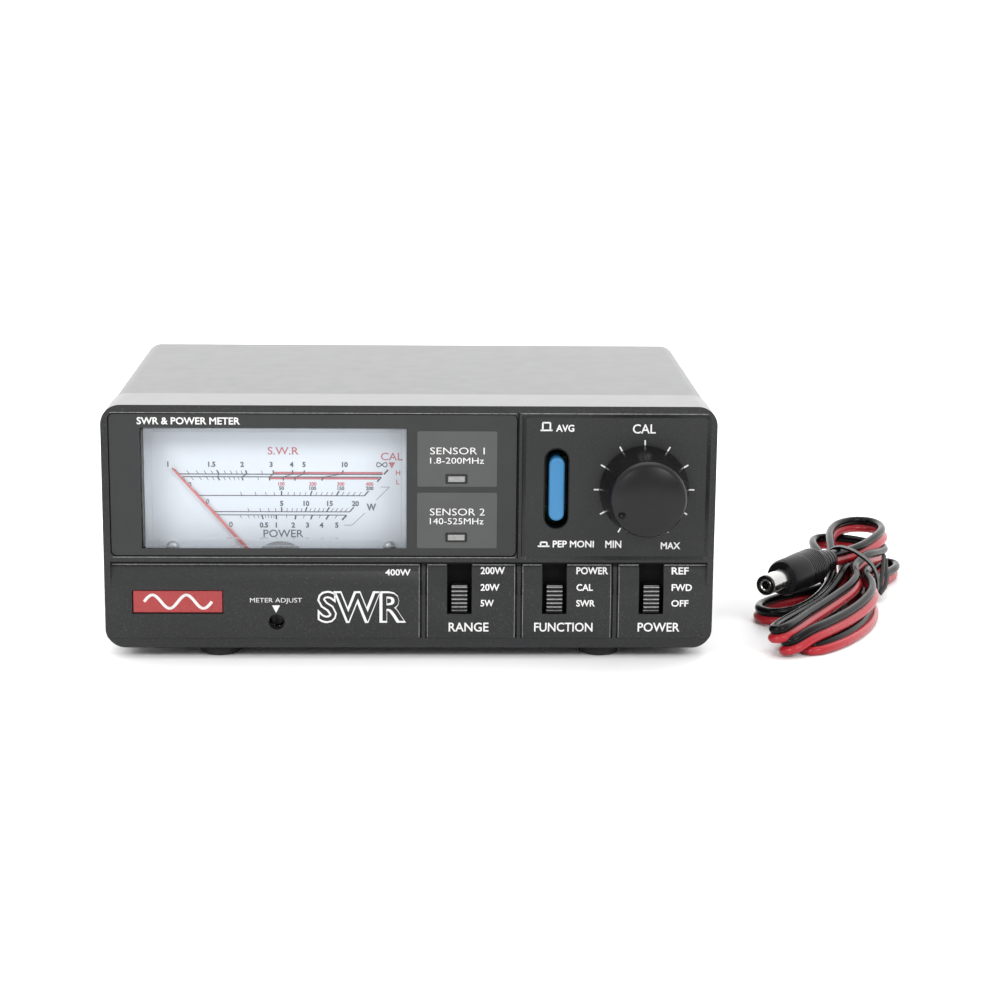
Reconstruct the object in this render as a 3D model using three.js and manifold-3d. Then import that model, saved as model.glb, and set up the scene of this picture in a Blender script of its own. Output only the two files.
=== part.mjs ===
// Desktop SWR and power meter with its DC lead. Millimetres, +Z up, +X to the right of the front
// panel, +Y to the back. Each piece is drawn with the front rim at y = 0 and the floor at z = 0,
// and the whole group is moved at the end so that the meter stands centred on the origin.

import * as THREE from 'three';
import { mergeVertices } from 'three/addons/utils/BufferGeometryUtils.js';
import Module from 'manifold-3d';

const wasm = await Module();
wasm.setup();

// ---- driving dimensions ----

const WIDTH = 155; // of the front panel
const HEIGHT = 63; // of the front panel, without the feet
const FOOT_HEIGHT = 3;
const BASE = FOOT_HEIGHT; // lower edge of the front panel
const TOP = BASE + HEIGHT;
const DEPTH = 103; // front rim to the cover's rear edge
const FRAME_DEPTH = 17; // of the moulded front
const FACE = 3; // thickness of the front face
const WALL = 2.2; // of the moulded skirt
const CORNER = 5;
const STEEL = 1;
const GAP = 0.3; // between pieces that touch
const PANEL_RECESS = 0.7; // of the upper right control area

const FACIA = { x0: -75.7, x1: 27.1, z0: 27, z1: 63.9, depth: 1.4 };
const WINDOW = { x0: -67.8, x1: -0.94, z0: 29, z1: 60.06 };
const CONTROLS = { x0: 29.2, x1: 75, z0: 27.1, z1: 63 };
const BADGE = { x0: -70.6, x1: -47.5, z0: 12, z1: 18.2, depth: 1.2 };
const ROW = { bottom: 5.6, fold: 18.3, top: 25.2, setBack: 1.9, halfWidth: 75.9 };
const GROOVES = [3.45, 27.8, 52.4]; // centre lines of the ribs between the lower panels
const LED = { x: 11.7, lower: 32.1, upper: 47.25, width: 4.9, height: 2 };

const KNOB = { x: 59.3, z: 44.5, skirt: 11.4, face: 9.7, front: 13.5, bore: 3.3 };
const SHAFT_RADIUS = 3;
const BUSH_HOLE = 3.9; // radius of the panel hole for the control's bush
const BUTTON = { x: 37.05, z: 44.7, width: 3.9, height: 16.4, slotWidth: 6.4, slotHeight: 21 };
const SLIDERS = { range: 12.6, function: 36.9, power: 61.7 };
const SLOT = { width: 6.3, bottom: 12, top: 25.6 };
const SLIDER = { width: 4.1, height: 7.2, z: 15.9, travel: 5.6 };

const PIVOT = { x: -33, z: 17 };
const NEEDLE = { length: 41.7, depth: 9.1, rest: 41.8 }; // rest: degrees left of upright
const ADJUST = { x: -34, z: 9.85, holeRadius: 2.05, headRadius: 1.6 };
const DIAL_DEPTH = 10;
const LENS = { x0: -70, x1: 1.2, z0: 6, z1: 61.8, front: 0.9, back: 13 };

const REAR = DEPTH - 1; // outer face of the rear panel
const SOCKET_Z = 31;
const SOCKETS = { '1_input': -57, '1_output': -29, '2_input': 29, '2_output': 57 };
const SOCKET_LENGTH = 13.5; // rear panel to the socket's rim
const JACK_Z = 17;
const FOOT_X = 49;
const FOOT_FRONT = 8;
const FOOT_REAR = 93;

// The DC lead: its hank, tied at TIE, with its axis AXIS degrees from +X in plan.
const TIE = { x: 123, y: 60 };
const AXIS = 67;
const HANK = { front: -64, rear: 45, left: -2.5, right: 13, height: 8.8 };
const PLUG_TIP = new THREE.Vector3(95.1, 27.7, 12.4);
const PLUG_TAIL = new THREE.Vector3(117.8, 58, 12.4);

const MODEL_CENTRE_Y = (REAR + SOCKET_LENGTH - KNOB.front) / 2;

// ---- materials ----

function finish(color, roughness, metalness = 0) {
  return new THREE.MeshStandardMaterial({ color, roughness, metalness });
}

const charcoal = finish(0x33363a, 0.55);
const facia = finish(0x3a3c3e, 0.5);
const blackPlastic = finish(0x141416, 0.45);
const bluePlastic = finish(0x2f86d0, 0.4);
const redPaint = finish(0xb92a2f, 0.35);
const redPointer = finish(0xd8433f, 0.5);
const whitePaint = finish(0xdde3ec, 0.6);
const greyPlastic = finish(0x6a6d70, 0.6);
const clear = finish(0xe9eef2, 0.1);
const ivory = finish(0xe6e2d3, 0.55);
const paintedSteel = finish(0x3c3e40, 0.5, 0.2);
const nickel = finish(0xc9c9c4, 0.3, 1);
const brass = finish(0xc7a35a, 0.35, 1);
const tinplate = finish(0xb9bcbd, 0.4, 1);
const rubber = finish(0x161616, 0.9);
const board = finish(0x2d6b3f, 0.6);
const copper = finish(0xb5713c, 0.4, 1);
const redLead = finish(0xc22534, 0.4);

// ---- solids ----

function solid(geometry) {
  geometry.deleteAttribute('normal');
  geometry.deleteAttribute('uv');
  const merged = mergeVertices(geometry, 1e-4);
  return new wasm.Manifold(new wasm.Mesh({
    numProp: 3,
    vertProperties: new Float32Array(merged.attributes.position.array),
    triVerts: new Uint32Array(merged.index.array),
  }));
}

function geometryOf(body) {
  const mesh = body.getMesh();
  const geometry = new THREE.BufferGeometry();
  geometry.setAttribute('position', new THREE.BufferAttribute(mesh.vertProperties, 3));
  geometry.setIndex(new THREE.BufferAttribute(mesh.triVerts, 1));
  geometry.computeVertexNormals();
  return geometry;
}

function box(x0, x1, y0, y1, z0, z1) {
  const geometry = new THREE.BoxGeometry(x1 - x0, y1 - y0, z1 - z0);
  geometry.translate((x0 + x1) / 2, (y0 + y1) / 2, (z0 + z1) / 2);
  return solid(geometry);
}

function roundedRectangle(x0, x1, z0, z1, radius) {
  const outline = new THREE.Shape();
  const quarter = Math.PI / 2;
  outline.absarc(x1 - radius, z0 + radius, radius, -quarter, 0, false);
  outline.absarc(x1 - radius, z1 - radius, radius, 0, quarter, false);
  outline.absarc(x0 + radius, z1 - radius, radius, quarter, 2 * quarter, false);
  outline.absarc(x0 + radius, z0 + radius, radius, 2 * quarter, 3 * quarter, false);
  outline.closePath();
  return outline;
}

// A front-view outline (x to the right, z up) given thickness from y0 back to y1.
function plate(outline, y0, y1, curveSegments = 6) {
  const geometry = new THREE.ExtrudeGeometry(outline, {
    depth: y1 - y0, bevelEnabled: false, curveSegments,
  });
  geometry.rotateX(Math.PI / 2);
  geometry.translate(0, y1, 0);
  return solid(geometry);
}

// A side-view outline (points [y, z]) given width from x0 to x1.
function profileBar(points, x0, x1) {
  const outline = new THREE.Shape(points.map(([y, z]) => new THREE.Vector2(y, z)));
  const geometry = new THREE.ExtrudeGeometry(outline, { depth: x1 - x0, bevelEnabled: false });
  geometry.rotateY(Math.PI / 2);
  geometry.rotateX(Math.PI / 2);
  geometry.translate(x0, 0, 0);
  return solid(geometry);
}

function rod(radius, y0, y1, x, z, segments = 24) {
  const geometry = new THREE.CylinderGeometry(radius, radius, y1 - y0, segments);
  geometry.translate(x, (y0 + y1) / 2, z);
  return solid(geometry);
}

function sideRod(radius, x0, x1, y, z, segments = 12) {
  const geometry = new THREE.CylinderGeometry(radius, radius, x1 - x0, segments);
  geometry.rotateZ(Math.PI / 2);
  geometry.translate((x0 + x1) / 2, y, z);
  return solid(geometry);
}

// A turned piece on an axis along Y: points are [radius, y].
function turned(points, x, z, segments = 32) {
  const profile = points.map(([radius, y]) => new THREE.Vector2(radius, y));
  const geometry = new THREE.LatheGeometry(profile, segments);
  geometry.translate(x, 0, z);
  return solid(outward(geometry));
}

// A lathe turned from a profile drawn the other way round is inside out: its faces are flipped.
function outward(geometry) {
  const position = geometry.attributes.position;
  const index = geometry.index;
  let volume = 0;
  const [a, b, c] = [new THREE.Vector3(), new THREE.Vector3(), new THREE.Vector3()];
  for (let i = 0; i < index.count; i += 3) {
    a.fromBufferAttribute(position, index.getX(i));
    b.fromBufferAttribute(position, index.getX(i + 1));
    c.fromBufferAttribute(position, index.getX(i + 2));
    volume += a.dot(b.cross(c));
  }
  if (volume < 0) {
    for (let i = 0; i < index.count; i += 3) {
      const first = index.getX(i);
      index.setX(i, index.getX(i + 1));
      index.setX(i + 1, first);
    }
  }
  return geometry;
}

function union(...bodies) {
  return bodies.reduce((sum, body) => sum.add(body));
}

function cut(body, ...tools) {
  return tools.reduce((rest, tool) => rest.subtract(tool), body);
}

const model = new THREE.Group();
const housing = new THREE.Group();
housing.position.y = -MODEL_CENTRE_Y;
model.add(housing);

function add(name, body, material) {
  const geometry = body.isBufferGeometry ? body : geometryOf(body);
  const mesh = new THREE.Mesh(geometry, material);
  mesh.name = name;
  housing.add(mesh);
  return mesh;
}

// ---- front panel ----

function lowerRowSlope() {
  const points = [[-1, ROW.fold]];
  const steps = 6;
  for (let i = 0; i <= steps; i += 1) {
    const rise = i / steps;
    points.push([ROW.setBack * rise ** 1.5, ROW.fold + (ROW.top - ROW.fold) * rise]);
  }
  points.push([-1, ROW.top]);
  return profileBar(points, -ROW.halfWidth, ROW.halfWidth);
}

function panelGroove(x) {
  const slit = 0.5;
  const rib = 0.45;
  const deep = 1.1;
  const left = box(x - rib - slit, x - rib, -1, deep, ROW.bottom, ROW.top);
  const right = box(x + rib, x + rib + slit, -1, deep, ROW.bottom, ROW.top);
  const ribTop = box(x - rib - 0.1, x + rib + 0.1, -1, 0.35, ROW.bottom, ROW.top);
  return union(left, right, ribTop);
}

function controlsPocket() {
  const slope = 0.9;
  const { x0, x1, z0, z1 } = CONTROLS;
  const geometry = new THREE.ExtrudeGeometry(roundedRectangle(x0, x1, z0, z1, 0.6), {
    depth: 1, curveSegments: 2, bevelEnabled: true, bevelSize: slope,
    bevelThickness: PANEL_RECESS, bevelSegments: 1,
  });
  geometry.rotateX(Math.PI / 2);
  return solid(geometry);
}

function stadium(x, z, width, height) {
  return roundedRectangle(x - width / 2, x + width / 2, z - height / 2, z + height / 2, width / 2);
}

function frontBezel() {
  const half = WIDTH / 2;
  const outer = plate(roundedRectangle(-half, half, BASE, TOP, CORNER), 0, FRAME_DEPTH);
  const hollow = plate(
    roundedRectangle(-half + WALL, half - WALL, BASE + WALL, TOP - WALL, CORNER - WALL),
    FACE, FRAME_DEPTH + 1,
  );
  const collarWall = 1.2;
  const collar = plate(
    stadium(BUTTON.x, BUTTON.z, BUTTON.slotWidth + 2 * collarWall, BUTTON.slotHeight + 2 * collarWall),
    FACE - 1, FACE + 4,
  );
  const shell = union(cut(outer, hollow), collar);
  const faciaPocket = plate(
    roundedRectangle(FACIA.x0, FACIA.x1, FACIA.z0, FACIA.z1, 1.5), -1, FACIA.depth, 3,
  );
  const windowHole = box(
    WINDOW.x0 - 0.5, WINDOW.x1 + 0.5, -1, FACE + 1, WINDOW.z0 - 0.5, WINDOW.z1 + 0.5,
  );
  const badgePocket = box(BADGE.x0, BADGE.x1, -1, BADGE.depth, BADGE.z0, BADGE.z1);
  const lip = box(-half - 1, half + 1, -1, 0.35, BASE - 1, ROW.bottom);
  const buttonSlot = plate(
    stadium(BUTTON.x, BUTTON.z, BUTTON.slotWidth, BUTTON.slotHeight), -1, FACE + 5,
  );
  const ledHoles = [LED.lower, LED.upper].map((z) => ledOpening(z, FACE + 1));
  const slots = Object.values(SLIDERS).map((x) => (
    box(x - SLOT.width / 2, x + SLOT.width / 2, -1, FACE + 1, SLOT.bottom, SLOT.top)
  ));
  return cut(
    shell, faciaPocket, windowHole, badgePocket, lip, lowerRowSlope(), controlsPocket(),
    ...GROOVES.map(panelGroove), buttonSlot, ...ledHoles, ...slots,
    rod(BUSH_HOLE, -1, FACE + 1, KNOB.x, KNOB.z, 24),
    rod(ADJUST.holeRadius, -1, FACE + 1, ADJUST.x, ADJUST.z, 24),
  );
}

function ledOpening(z, back) {
  const dx = LED.width / 2 + GAP;
  const dz = LED.height / 2 + GAP;
  return box(LED.x - dx, LED.x + dx, -1, back, z - dz, z + dz);
}

function faciaSheet() {
  const edge = 0.2;
  const sheet = plate(
    roundedRectangle(FACIA.x0 + edge, FACIA.x1 - edge, FACIA.z0 + edge, FACIA.z1 - edge, 1.3),
    0.3, FACIA.depth - GAP, 3,
  );
  const window = box(WINDOW.x0, WINDOW.x1, -1, FACE, WINDOW.z0, WINDOW.z1);
  return cut(sheet, window, ledOpening(LED.lower, FACE), ledOpening(LED.upper, FACE));
}

add('front_bezel', frontBezel(), charcoal);
add('facia_sheet', faciaSheet(), facia);
add('badge_plate', box(
  BADGE.x0 + 0.2, BADGE.x1 - 0.2, 0.4, BADGE.depth - GAP, BADGE.z0 + 0.2, BADGE.z1 - 0.2,
), redPaint);

// ---- panel meter ----

function meterLens() {
  const nose = box(
    WINDOW.x0 + GAP, WINDOW.x1 - GAP, LENS.front, FACE + 2, WINDOW.z0 + GAP, WINDOW.z1 - GAP,
  );
  const back = box(LENS.x0, LENS.x1, FACE + GAP, LENS.back, LENS.z0, LENS.z1);
  const wall = 1.4;
  const frontHollow = box(
    WINDOW.x0 + 2.5, WINDOW.x1 - 1.3, LENS.front + wall, FACE + 3, WINDOW.z0 + 2, WINDOW.z1 - 1.3,
  );
  const backHollow = box(
    LENS.x0 + wall, LENS.x1 - wall, FACE + GAP + wall, LENS.back + 1, LENS.z0 + wall, LENS.z1 - wall,
  );
  const screwHole = rod(ADJUST.headRadius + GAP, FACE - 1, FACE + 4, ADJUST.x, ADJUST.z, 20);
  return cut(union(nose, back), frontHollow, backHollow, screwHole);
}

function meterCase() {
  const wall = 1.5;
  const front = LENS.back + GAP;
  const back = 32;
  return cut(
    box(LENS.x0, LENS.x1, front, back, LENS.z0, LENS.z1),
    box(LENS.x0 + wall, LENS.x1 - wall, front - 1, back - wall, LENS.z0 + wall, LENS.z1 - wall),
  );
}

const DIAL_SCREWS = { left: -61, right: -5.4 };
const DIAL_SCREW_Z = 27.2;
const DIAL_SCREW_END = 13;
const DIAL_THICKNESS = 0.6;

function dialPlate() {
  const sheet = box(-68, -0.9, DIAL_DEPTH, DIAL_DEPTH + DIAL_THICKNESS, 22, 60);
  const [before, behind] = [DIAL_DEPTH - 1, DIAL_DEPTH + 2];
  const screwHole = 1.1;
  const coilOpening = 8.6;
  const holes = Object.values(DIAL_SCREWS).map((x) => (
    rod(screwHole, before, behind, x, DIAL_SCREW_Z, 10)
  ));
  return cut(sheet, rod(coilOpening, before, behind, PIVOT.x, PIVOT.z, 24), ...holes);
}

function dialScrew(x) {
  const head = DIAL_DEPTH - GAP;
  return turned([
    [0, head - 1], [0.9, head - 0.9], [1.6, head - 0.3], [1.6, head], [0.8, head],
    [0.8, DIAL_SCREW_END], [0, DIAL_SCREW_END],
  ], x, DIAL_SCREW_Z, 10);
}

function pivotCover() {
  const [front, back] = [7, 8.4];
  const radius = 7.84;
  const z = 20.7;
  return turned([
    [0, front], [5.6, front + 0.1], [7.4, front + 0.6], [radius, back], [0, back],
  ], PIVOT.x - 0.3, z, 24);
}

// The pointer, drawn upright and then turned to its rest angle about the pivot.
function restTurned(body) {
  const geometry = geometryOf(body);
  geometry.translate(-PIVOT.x, 0, -PIVOT.z);
  geometry.rotateY(THREE.MathUtils.degToRad(-NEEDLE.rest));
  geometry.translate(PIVOT.x, 0, PIVOT.z);
  return geometry;
}

function needle() {
  const half = 0.15;
  const [front, back] = [NEEDLE.depth - half, NEEDLE.depth + half];
  const tail = 5;
  const arm = 4;
  const blade = new THREE.Shape([
    new THREE.Vector2(PIVOT.x - 0.55, PIVOT.z - tail),
    new THREE.Vector2(PIVOT.x + 0.55, PIVOT.z - tail),
    new THREE.Vector2(PIVOT.x + 0.24, PIVOT.z + NEEDLE.length),
    new THREE.Vector2(PIVOT.x - 0.24, PIVOT.z + NEEDLE.length),
  ]);
  const balance = box(PIVOT.x - arm, PIVOT.x + arm, front, back, PIVOT.z - 0.4, PIVOT.z + 0.4);
  return union(plate(blade, front, back), balance, rod(2.2, front, back, PIVOT.x, PIVOT.z, 24));
}

function movingCoil() {
  const reach = 7.5;
  const bar = 1.4;
  const half = 1;
  const [front, back] = [10.6, 25.4];
  const loop = cut(
    box(PIVOT.x - reach, PIVOT.x + reach, front, back, PIVOT.z - half, PIVOT.z + half),
    box(
      PIVOT.x - reach + bar, PIVOT.x + reach - bar, front + bar, back - bar,
      PIVOT.z - 2 * half, PIVOT.z + 2 * half,
    ),
  );
  const stub = 0.8; // radius of the pivot stubs at both ends of the coil
  return union(
    loop,
    rod(stub, NEEDLE.depth + 0.45, front + 0.5, PIVOT.x, PIVOT.z, 12),
    rod(stub, back - 0.5, back + 1.6, PIVOT.x, PIVOT.z, 12),
  );
}

function meterMagnet() {
  const post = 3.6; // posts above and below the pivot, inside the coil's swing
  const postRadius = 0.7;
  const [front, back] = [12.5, 23.5];
  const bridge = { front: 28.3, back: 29.8, half: 15, z0: 8.2, z1: 30 };
  const posts = [post, -post].map((rise) => (
    rod(postRadius, back - 0.5, bridge.front + 0.3, PIVOT.x, PIVOT.z + rise, 10)
  ));
  return union(
    rod(5.2, front, back, PIVOT.x, PIVOT.z, 24),
    ...posts,
    box(
      PIVOT.x - bridge.half, PIVOT.x + bridge.half, bridge.front, bridge.back, bridge.z0, bridge.z1,
    ),
  );
}

function zeroAdjustScrew() {
  const head = rod(ADJUST.headRadius, FACE + 0.7, 5.2, ADJUST.x, ADJUST.z, 20);
  const slot = box(ADJUST.x - 0.3, ADJUST.x + 0.3, 0, 4.4, ADJUST.z - 2, ADJUST.z + 2);
  return union(
    cut(head, slot),
    rod(1, 5, 7.4, ADJUST.x, ADJUST.z, 12),
    rod(0.4, 7.2, 8.4, ADJUST.x, ADJUST.z + 0.55, 8),
  );
}

add('meter_lens', meterLens(), clear);
add('meter_case', meterCase(), ivory);
add('dial_plate', dialPlate(), whitePaint);
for (const [side, x] of Object.entries(DIAL_SCREWS)) {
  add(`dial_screw_${side}`, dialScrew(x), nickel);
}
add('pivot_cover', pivotCover(), greyPlastic);
add('meter_magnet', meterMagnet(), tinplate);
add('needle', restTurned(needle()), redPointer);
add('moving_coil', restTurned(movingCoil()), copper);
add('zero_adjust_screw', zeroAdjustScrew(), blackPlastic);

const LAMP = { x: -10, z: 50, radius: 2.5, collar: 3, wire: 1 };
add('meter_lamp', turned([
  [0, 15], [1.6, 15.3], [LAMP.radius, 17], [LAMP.radius, 22], [LAMP.collar, 22],
  [LAMP.collar, 24], [LAMP.wire, 24], [LAMP.wire, 28], [0, 28],
], LAMP.x, LAMP.z, 10), clear);

// ---- calibration control ----

function calKnob() {
  const { skirt, face, front, bore } = KNOB;
  const back = 0.3;
  const body = turned([
    [0, -front], [3.2, -front + 0.08], [6.2, -front + 0.4], [8.2, -front + 1],
    [9.2, -front + 1.6], [face, -front + 2.6], [skirt, back], [7.5, back], [7.5, -3.2],
    [bore, -3.2], [bore, -8.5], [0, -8.5],
  ], KNOB.x, KNOB.z, 32);
  const pointerAngle = THREE.MathUtils.degToRad(240); // clockwise from 12 o'clock
  const pointerRadius = 8;
  const dimple = new THREE.SphereGeometry(1, 8, 6);
  dimple.translate(
    KNOB.x + pointerRadius * Math.sin(pointerAngle), -front + 0.3,
    KNOB.z + pointerRadius * Math.cos(pointerAngle),
  );
  return cut(body, solid(dimple));
}

function calPotentiometer() {
  const [inner, outer, can] = [SHAFT_RADIUS + 0.12, 3.6, 8.2]; // radii
  const [bushEnd, canFront, floor, canBack] = [-2.6, 9, 14.5, 15.6];
  return turned([
    [inner, bushEnd], [outer, bushEnd], [outer, canFront], [can, canFront], [can, canBack],
    [0, canBack], [0, floor], [inner, floor], [inner, bushEnd],
  ], KNOB.x, KNOB.z, 24);
}

function calNut() {
  const acrossCorners = 11;
  const nut = rod(acrossCorners / 2, -1.9, PANEL_RECESS - GAP, KNOB.x, KNOB.z, 6);
  return cut(nut, rod(BUSH_HOLE, -3, 1, KNOB.x, KNOB.z, 24));
}

add('cal_knob', calKnob(), blackPlastic);
add('cal_shaft', rod(SHAFT_RADIUS, -8.2, 14.2, KNOB.x, KNOB.z, 32), nickel);
add('cal_potentiometer', calPotentiometer(), tinplate);
add('cal_nut', calNut(), nickel);

// ---- push button ----

function modeButton() {
  const front = -0.5;
  const geometry = new THREE.ExtrudeGeometry(
    stadium(BUTTON.x, BUTTON.z, BUTTON.width - 0.8, BUTTON.height - 0.8),
    {
      depth: 7, curveSegments: 4, bevelEnabled: true, bevelSize: 0.4, bevelThickness: 0.4,
      bevelSegments: 1,
    },
  );
  geometry.rotateX(Math.PI / 2);
  geometry.translate(0, front + 7.4, 0);
  const stem = 1.5;
  return union(
    solid(geometry),
    box(BUTTON.x - stem, BUTTON.x + stem, 6, 12, BUTTON.z - stem, BUTTON.z + stem),
  );
}

function modeSwitchBody() {
  const [halfWidth, halfHeight] = [4, 6.5];
  const socket = 1.9;
  const [front, floor, back] = [10.6, 15.6, 16.7];
  return cut(
    box(
      BUTTON.x - halfWidth, BUTTON.x + halfWidth, front, back,
      BUTTON.z - halfHeight, BUTTON.z + halfHeight,
    ),
    box(
      BUTTON.x - socket, BUTTON.x + socket, front - 1, floor,
      BUTTON.z - socket, BUTTON.z + socket,
    ),
  );
}

add('mode_button', modeButton(), bluePlastic);
add('mode_switch_body', modeSwitchBody(), blackPlastic);

// ---- slide switches ----

// Side view of the finger piece: a convex front with ridges across it.
function ridgedFinger(x) {
  const { width, height, z } = SLIDER;
  const ridges = 7;
  const pitch = height / ridges;
  const points = [[5, z + height / 2], [5, z - height / 2]];
  for (let i = 0; i < ridges; i += 1) {
    const low = z - height / 2 + i * pitch;
    for (const [share, lift] of [[0.05, 0], [0.25, 0.5], [0.7, 0.5], [0.9, 0]]) {
      const height01 = (low + share * pitch - z) / (height / 2);
      const crown = 0.5 * (1 - height01 ** 2);
      points.push([0.4 - crown - lift, low + share * pitch]);
    }
  }
  return profileBar(points, x - width / 2, x + width / 2);
}

const STEM = { halfWidth: 1.5, halfHeight: 1.2, end: 12 };

// The finger piece, the plate that closes the slot behind it, and the stem into the switch.
function slider(x) {
  const { z } = SLIDER;
  return union(
    ridgedFinger(x),
    box(x - 4, x + 4, 4, 5, z - 9.4, z + 9.2),
    box(
      x - STEM.halfWidth, x + STEM.halfWidth, 4.5, STEM.end,
      z - STEM.halfHeight, z + STEM.halfHeight,
    ),
  );
}

function slideSwitchBody(x) {
  const middle = SLIDER.z + SLIDER.travel / 2;
  const reach = STEM.halfHeight + 0.5;
  const slot = STEM.halfWidth + 0.4;
  const [halfWidth, halfHeight] = [4.3, 9.5];
  const [front, back] = [8.8, 16.7];
  return cut(
    box(x - halfWidth, x + halfWidth, front, back, middle - halfHeight, middle + halfHeight),
    box(
      x - slot, x + slot, front - 1, STEM.end + 0.6,
      SLIDER.z - reach, SLIDER.z + SLIDER.travel + reach,
    ),
  );
}

for (const [name, x] of Object.entries(SLIDERS)) {
  add(`${name}_slider`, slider(x), blackPlastic);
  add(`${name}_switch_body`, slideSwitchBody(x), tinplate);
}

// ---- LEDs and board ----

for (const [number, z] of [[1, LED.upper], [2, LED.lower]]) {
  add(`sensor_${number}_led`, box(
    LED.x - LED.width / 2, LED.x + LED.width / 2, 0.6, 7, z - LED.height / 2, z + LED.height / 2,
  ), greyPlastic);
}
const BOARD_THICKNESS = 1.6;
add('main_board', box(4, 73.5, FRAME_DEPTH, FRAME_DEPTH + BOARD_THICKNESS, 7, 61), board);

// ---- steel case ----

const COVER_HALF = 77;
const COVER_TOP = TOP - 0.5;
const SHEET_BOTTOM = 3.6;
const COVER_SCREW = { z: 11, front: 32, rear: 88 };
const FLANGE_HALF = COVER_HALF - STEEL - GAP;
const FLANGE_TOP = 18;

function topCover() {
  const [front, bend] = [FRAME_DEPTH + GAP, 4];
  const outer = plate(
    roundedRectangle(-COVER_HALF, COVER_HALF, SHEET_BOTTOM - 10, COVER_TOP, bend), front, DEPTH,
  );
  const inner = plate(
    roundedRectangle(
      -COVER_HALF + STEEL, COVER_HALF - STEEL, SHEET_BOTTOM - 12, COVER_TOP - STEEL, bend - STEEL,
    ), front - 1, DEPTH + 1,
  );
  const below = box(-WIDTH, WIDTH, 0, DEPTH + 10, SHEET_BOTTOM - 20, SHEET_BOTTOM);
  const holes = [COVER_SCREW.front, COVER_SCREW.rear].map((y) => (
    sideRod(1.7, -WIDTH / 2 - 1, WIDTH / 2 + 1, y, COVER_SCREW.z)
  ));
  return cut(outer, inner, below, ...holes);
}

function chassis() {
  const front = FRAME_DEPTH + GAP;
  const floor = box(-FLANGE_HALF, FLANGE_HALF, front, REAR, SHEET_BOTTOM, SHEET_BOTTOM + STEEL);
  const rear = box(-FLANGE_HALF, FLANGE_HALF, REAR - STEEL, REAR, SHEET_BOTTOM, COVER_TOP - STEEL - GAP);
  const rearCorners = plate(
    roundedRectangle(-FLANGE_HALF, FLANGE_HALF, SHEET_BOTTOM - 10, COVER_TOP - STEEL - GAP, 3),
    front - 1, REAR + 1,
  );
  const flanges = [-1, 1].map((side) => {
    const [a, b] = [side * FLANGE_HALF, side * (FLANGE_HALF - STEEL)];
    return box(Math.min(a, b), Math.max(a, b), front + 2, REAR - 3, SHEET_BOTTOM, FLANGE_TOP);
  });
  const holes = [COVER_SCREW.front, COVER_SCREW.rear].map((y) => (
    sideRod(1.5, -WIDTH / 2, WIDTH / 2, y, COVER_SCREW.z)
  ));
  const socketHoles = Object.values(SOCKETS).map((x) => rod(8, REAR - 3, REAR + 1, x, SOCKET_Z, 20));
  const sheet = union(floor, rear, ...flanges).intersect(rearCorners);
  return cut(sheet, ...holes, ...socketHoles, rod(4.4, REAR - 3, REAR + 1, 0, JACK_Z, 16));
}

function coverScrew(side, y) {
  const seat = COVER_HALF + GAP;
  const [head, thread, end] = [2.7, 1.2, 72]; // radii of head and thread, and where it ends
  const profile = [
    [0, seat + 1.2], [1.6, seat + 1.1], [2.5, seat + 0.6], [head, seat], [thread, seat],
    [thread, end], [0, end],
  ].map(([radius, x]) => new THREE.Vector2(radius, x));
  const geometry = outward(new THREE.LatheGeometry(profile, 12));
  geometry.rotateZ(-side * Math.PI / 2);
  geometry.translate(0, y, COVER_SCREW.z);
  const [drive, reach] = [0.45, 1.5]; // half the cross slot's width and length
  const middle = side * (seat + 1.6);
  const cross = [[drive, reach], [reach, drive]].map(([dy, dz]) => (
    box(middle - 1, middle + 1, y - dy, y + dy, COVER_SCREW.z - dz, COVER_SCREW.z + dz)
  ));
  return cut(solid(geometry), ...cross);
}

function foot(x, y, height) {
  const profile = [[0, 0], [4, 0], [4.8, 0.4], [5.2, 1.2], [5.3, height], [0, height]]
    .map(([radius, z]) => new THREE.Vector2(radius, z));
  const geometry = outward(new THREE.LatheGeometry(profile, 20));
  geometry.rotateX(Math.PI / 2);
  geometry.translate(x, y, 0);
  return solid(geometry);
}

add('chassis', chassis(), paintedSteel);
add('top_cover', topCover(), paintedSteel);
for (const [sideName, side] of [['left', -1], ['right', 1]]) {
  for (const end of ['front', 'rear']) {
    add(`cover_screw_${sideName}_${end}`, coverScrew(side, COVER_SCREW[end]), blackPlastic);
  }
  add(`foot_${sideName}_front`, foot(side * FOOT_X, FOOT_FRONT, BASE - GAP), rubber);
  add(`foot_${sideName}_rear`, foot(side * FOOT_X, FOOT_REAR, SHEET_BOTTOM - GAP), rubber);
}

// ---- rear sockets, sensor boxes and DC inlet ----

// Depths along a coax socket, and its radii.
const COAX = {
  rim: REAR + SOCKET_LENGTH, boreFloor: 106.5, shellEnd: 97.5, barrel: 7.9, bore: 6.4, neck: 4.5,
  insulatorFace: 111, insulatorEnd: 95.5, pinFace: 114.2, pinEnd: 90, pin: 2.8, pinBore: 2,
};
const JACK = { flange: 5.6, body: 4, bore: 2.85, pin: 1.05, face: 104.5, pinFace: 103, end: 92, floor: 95 };

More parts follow.
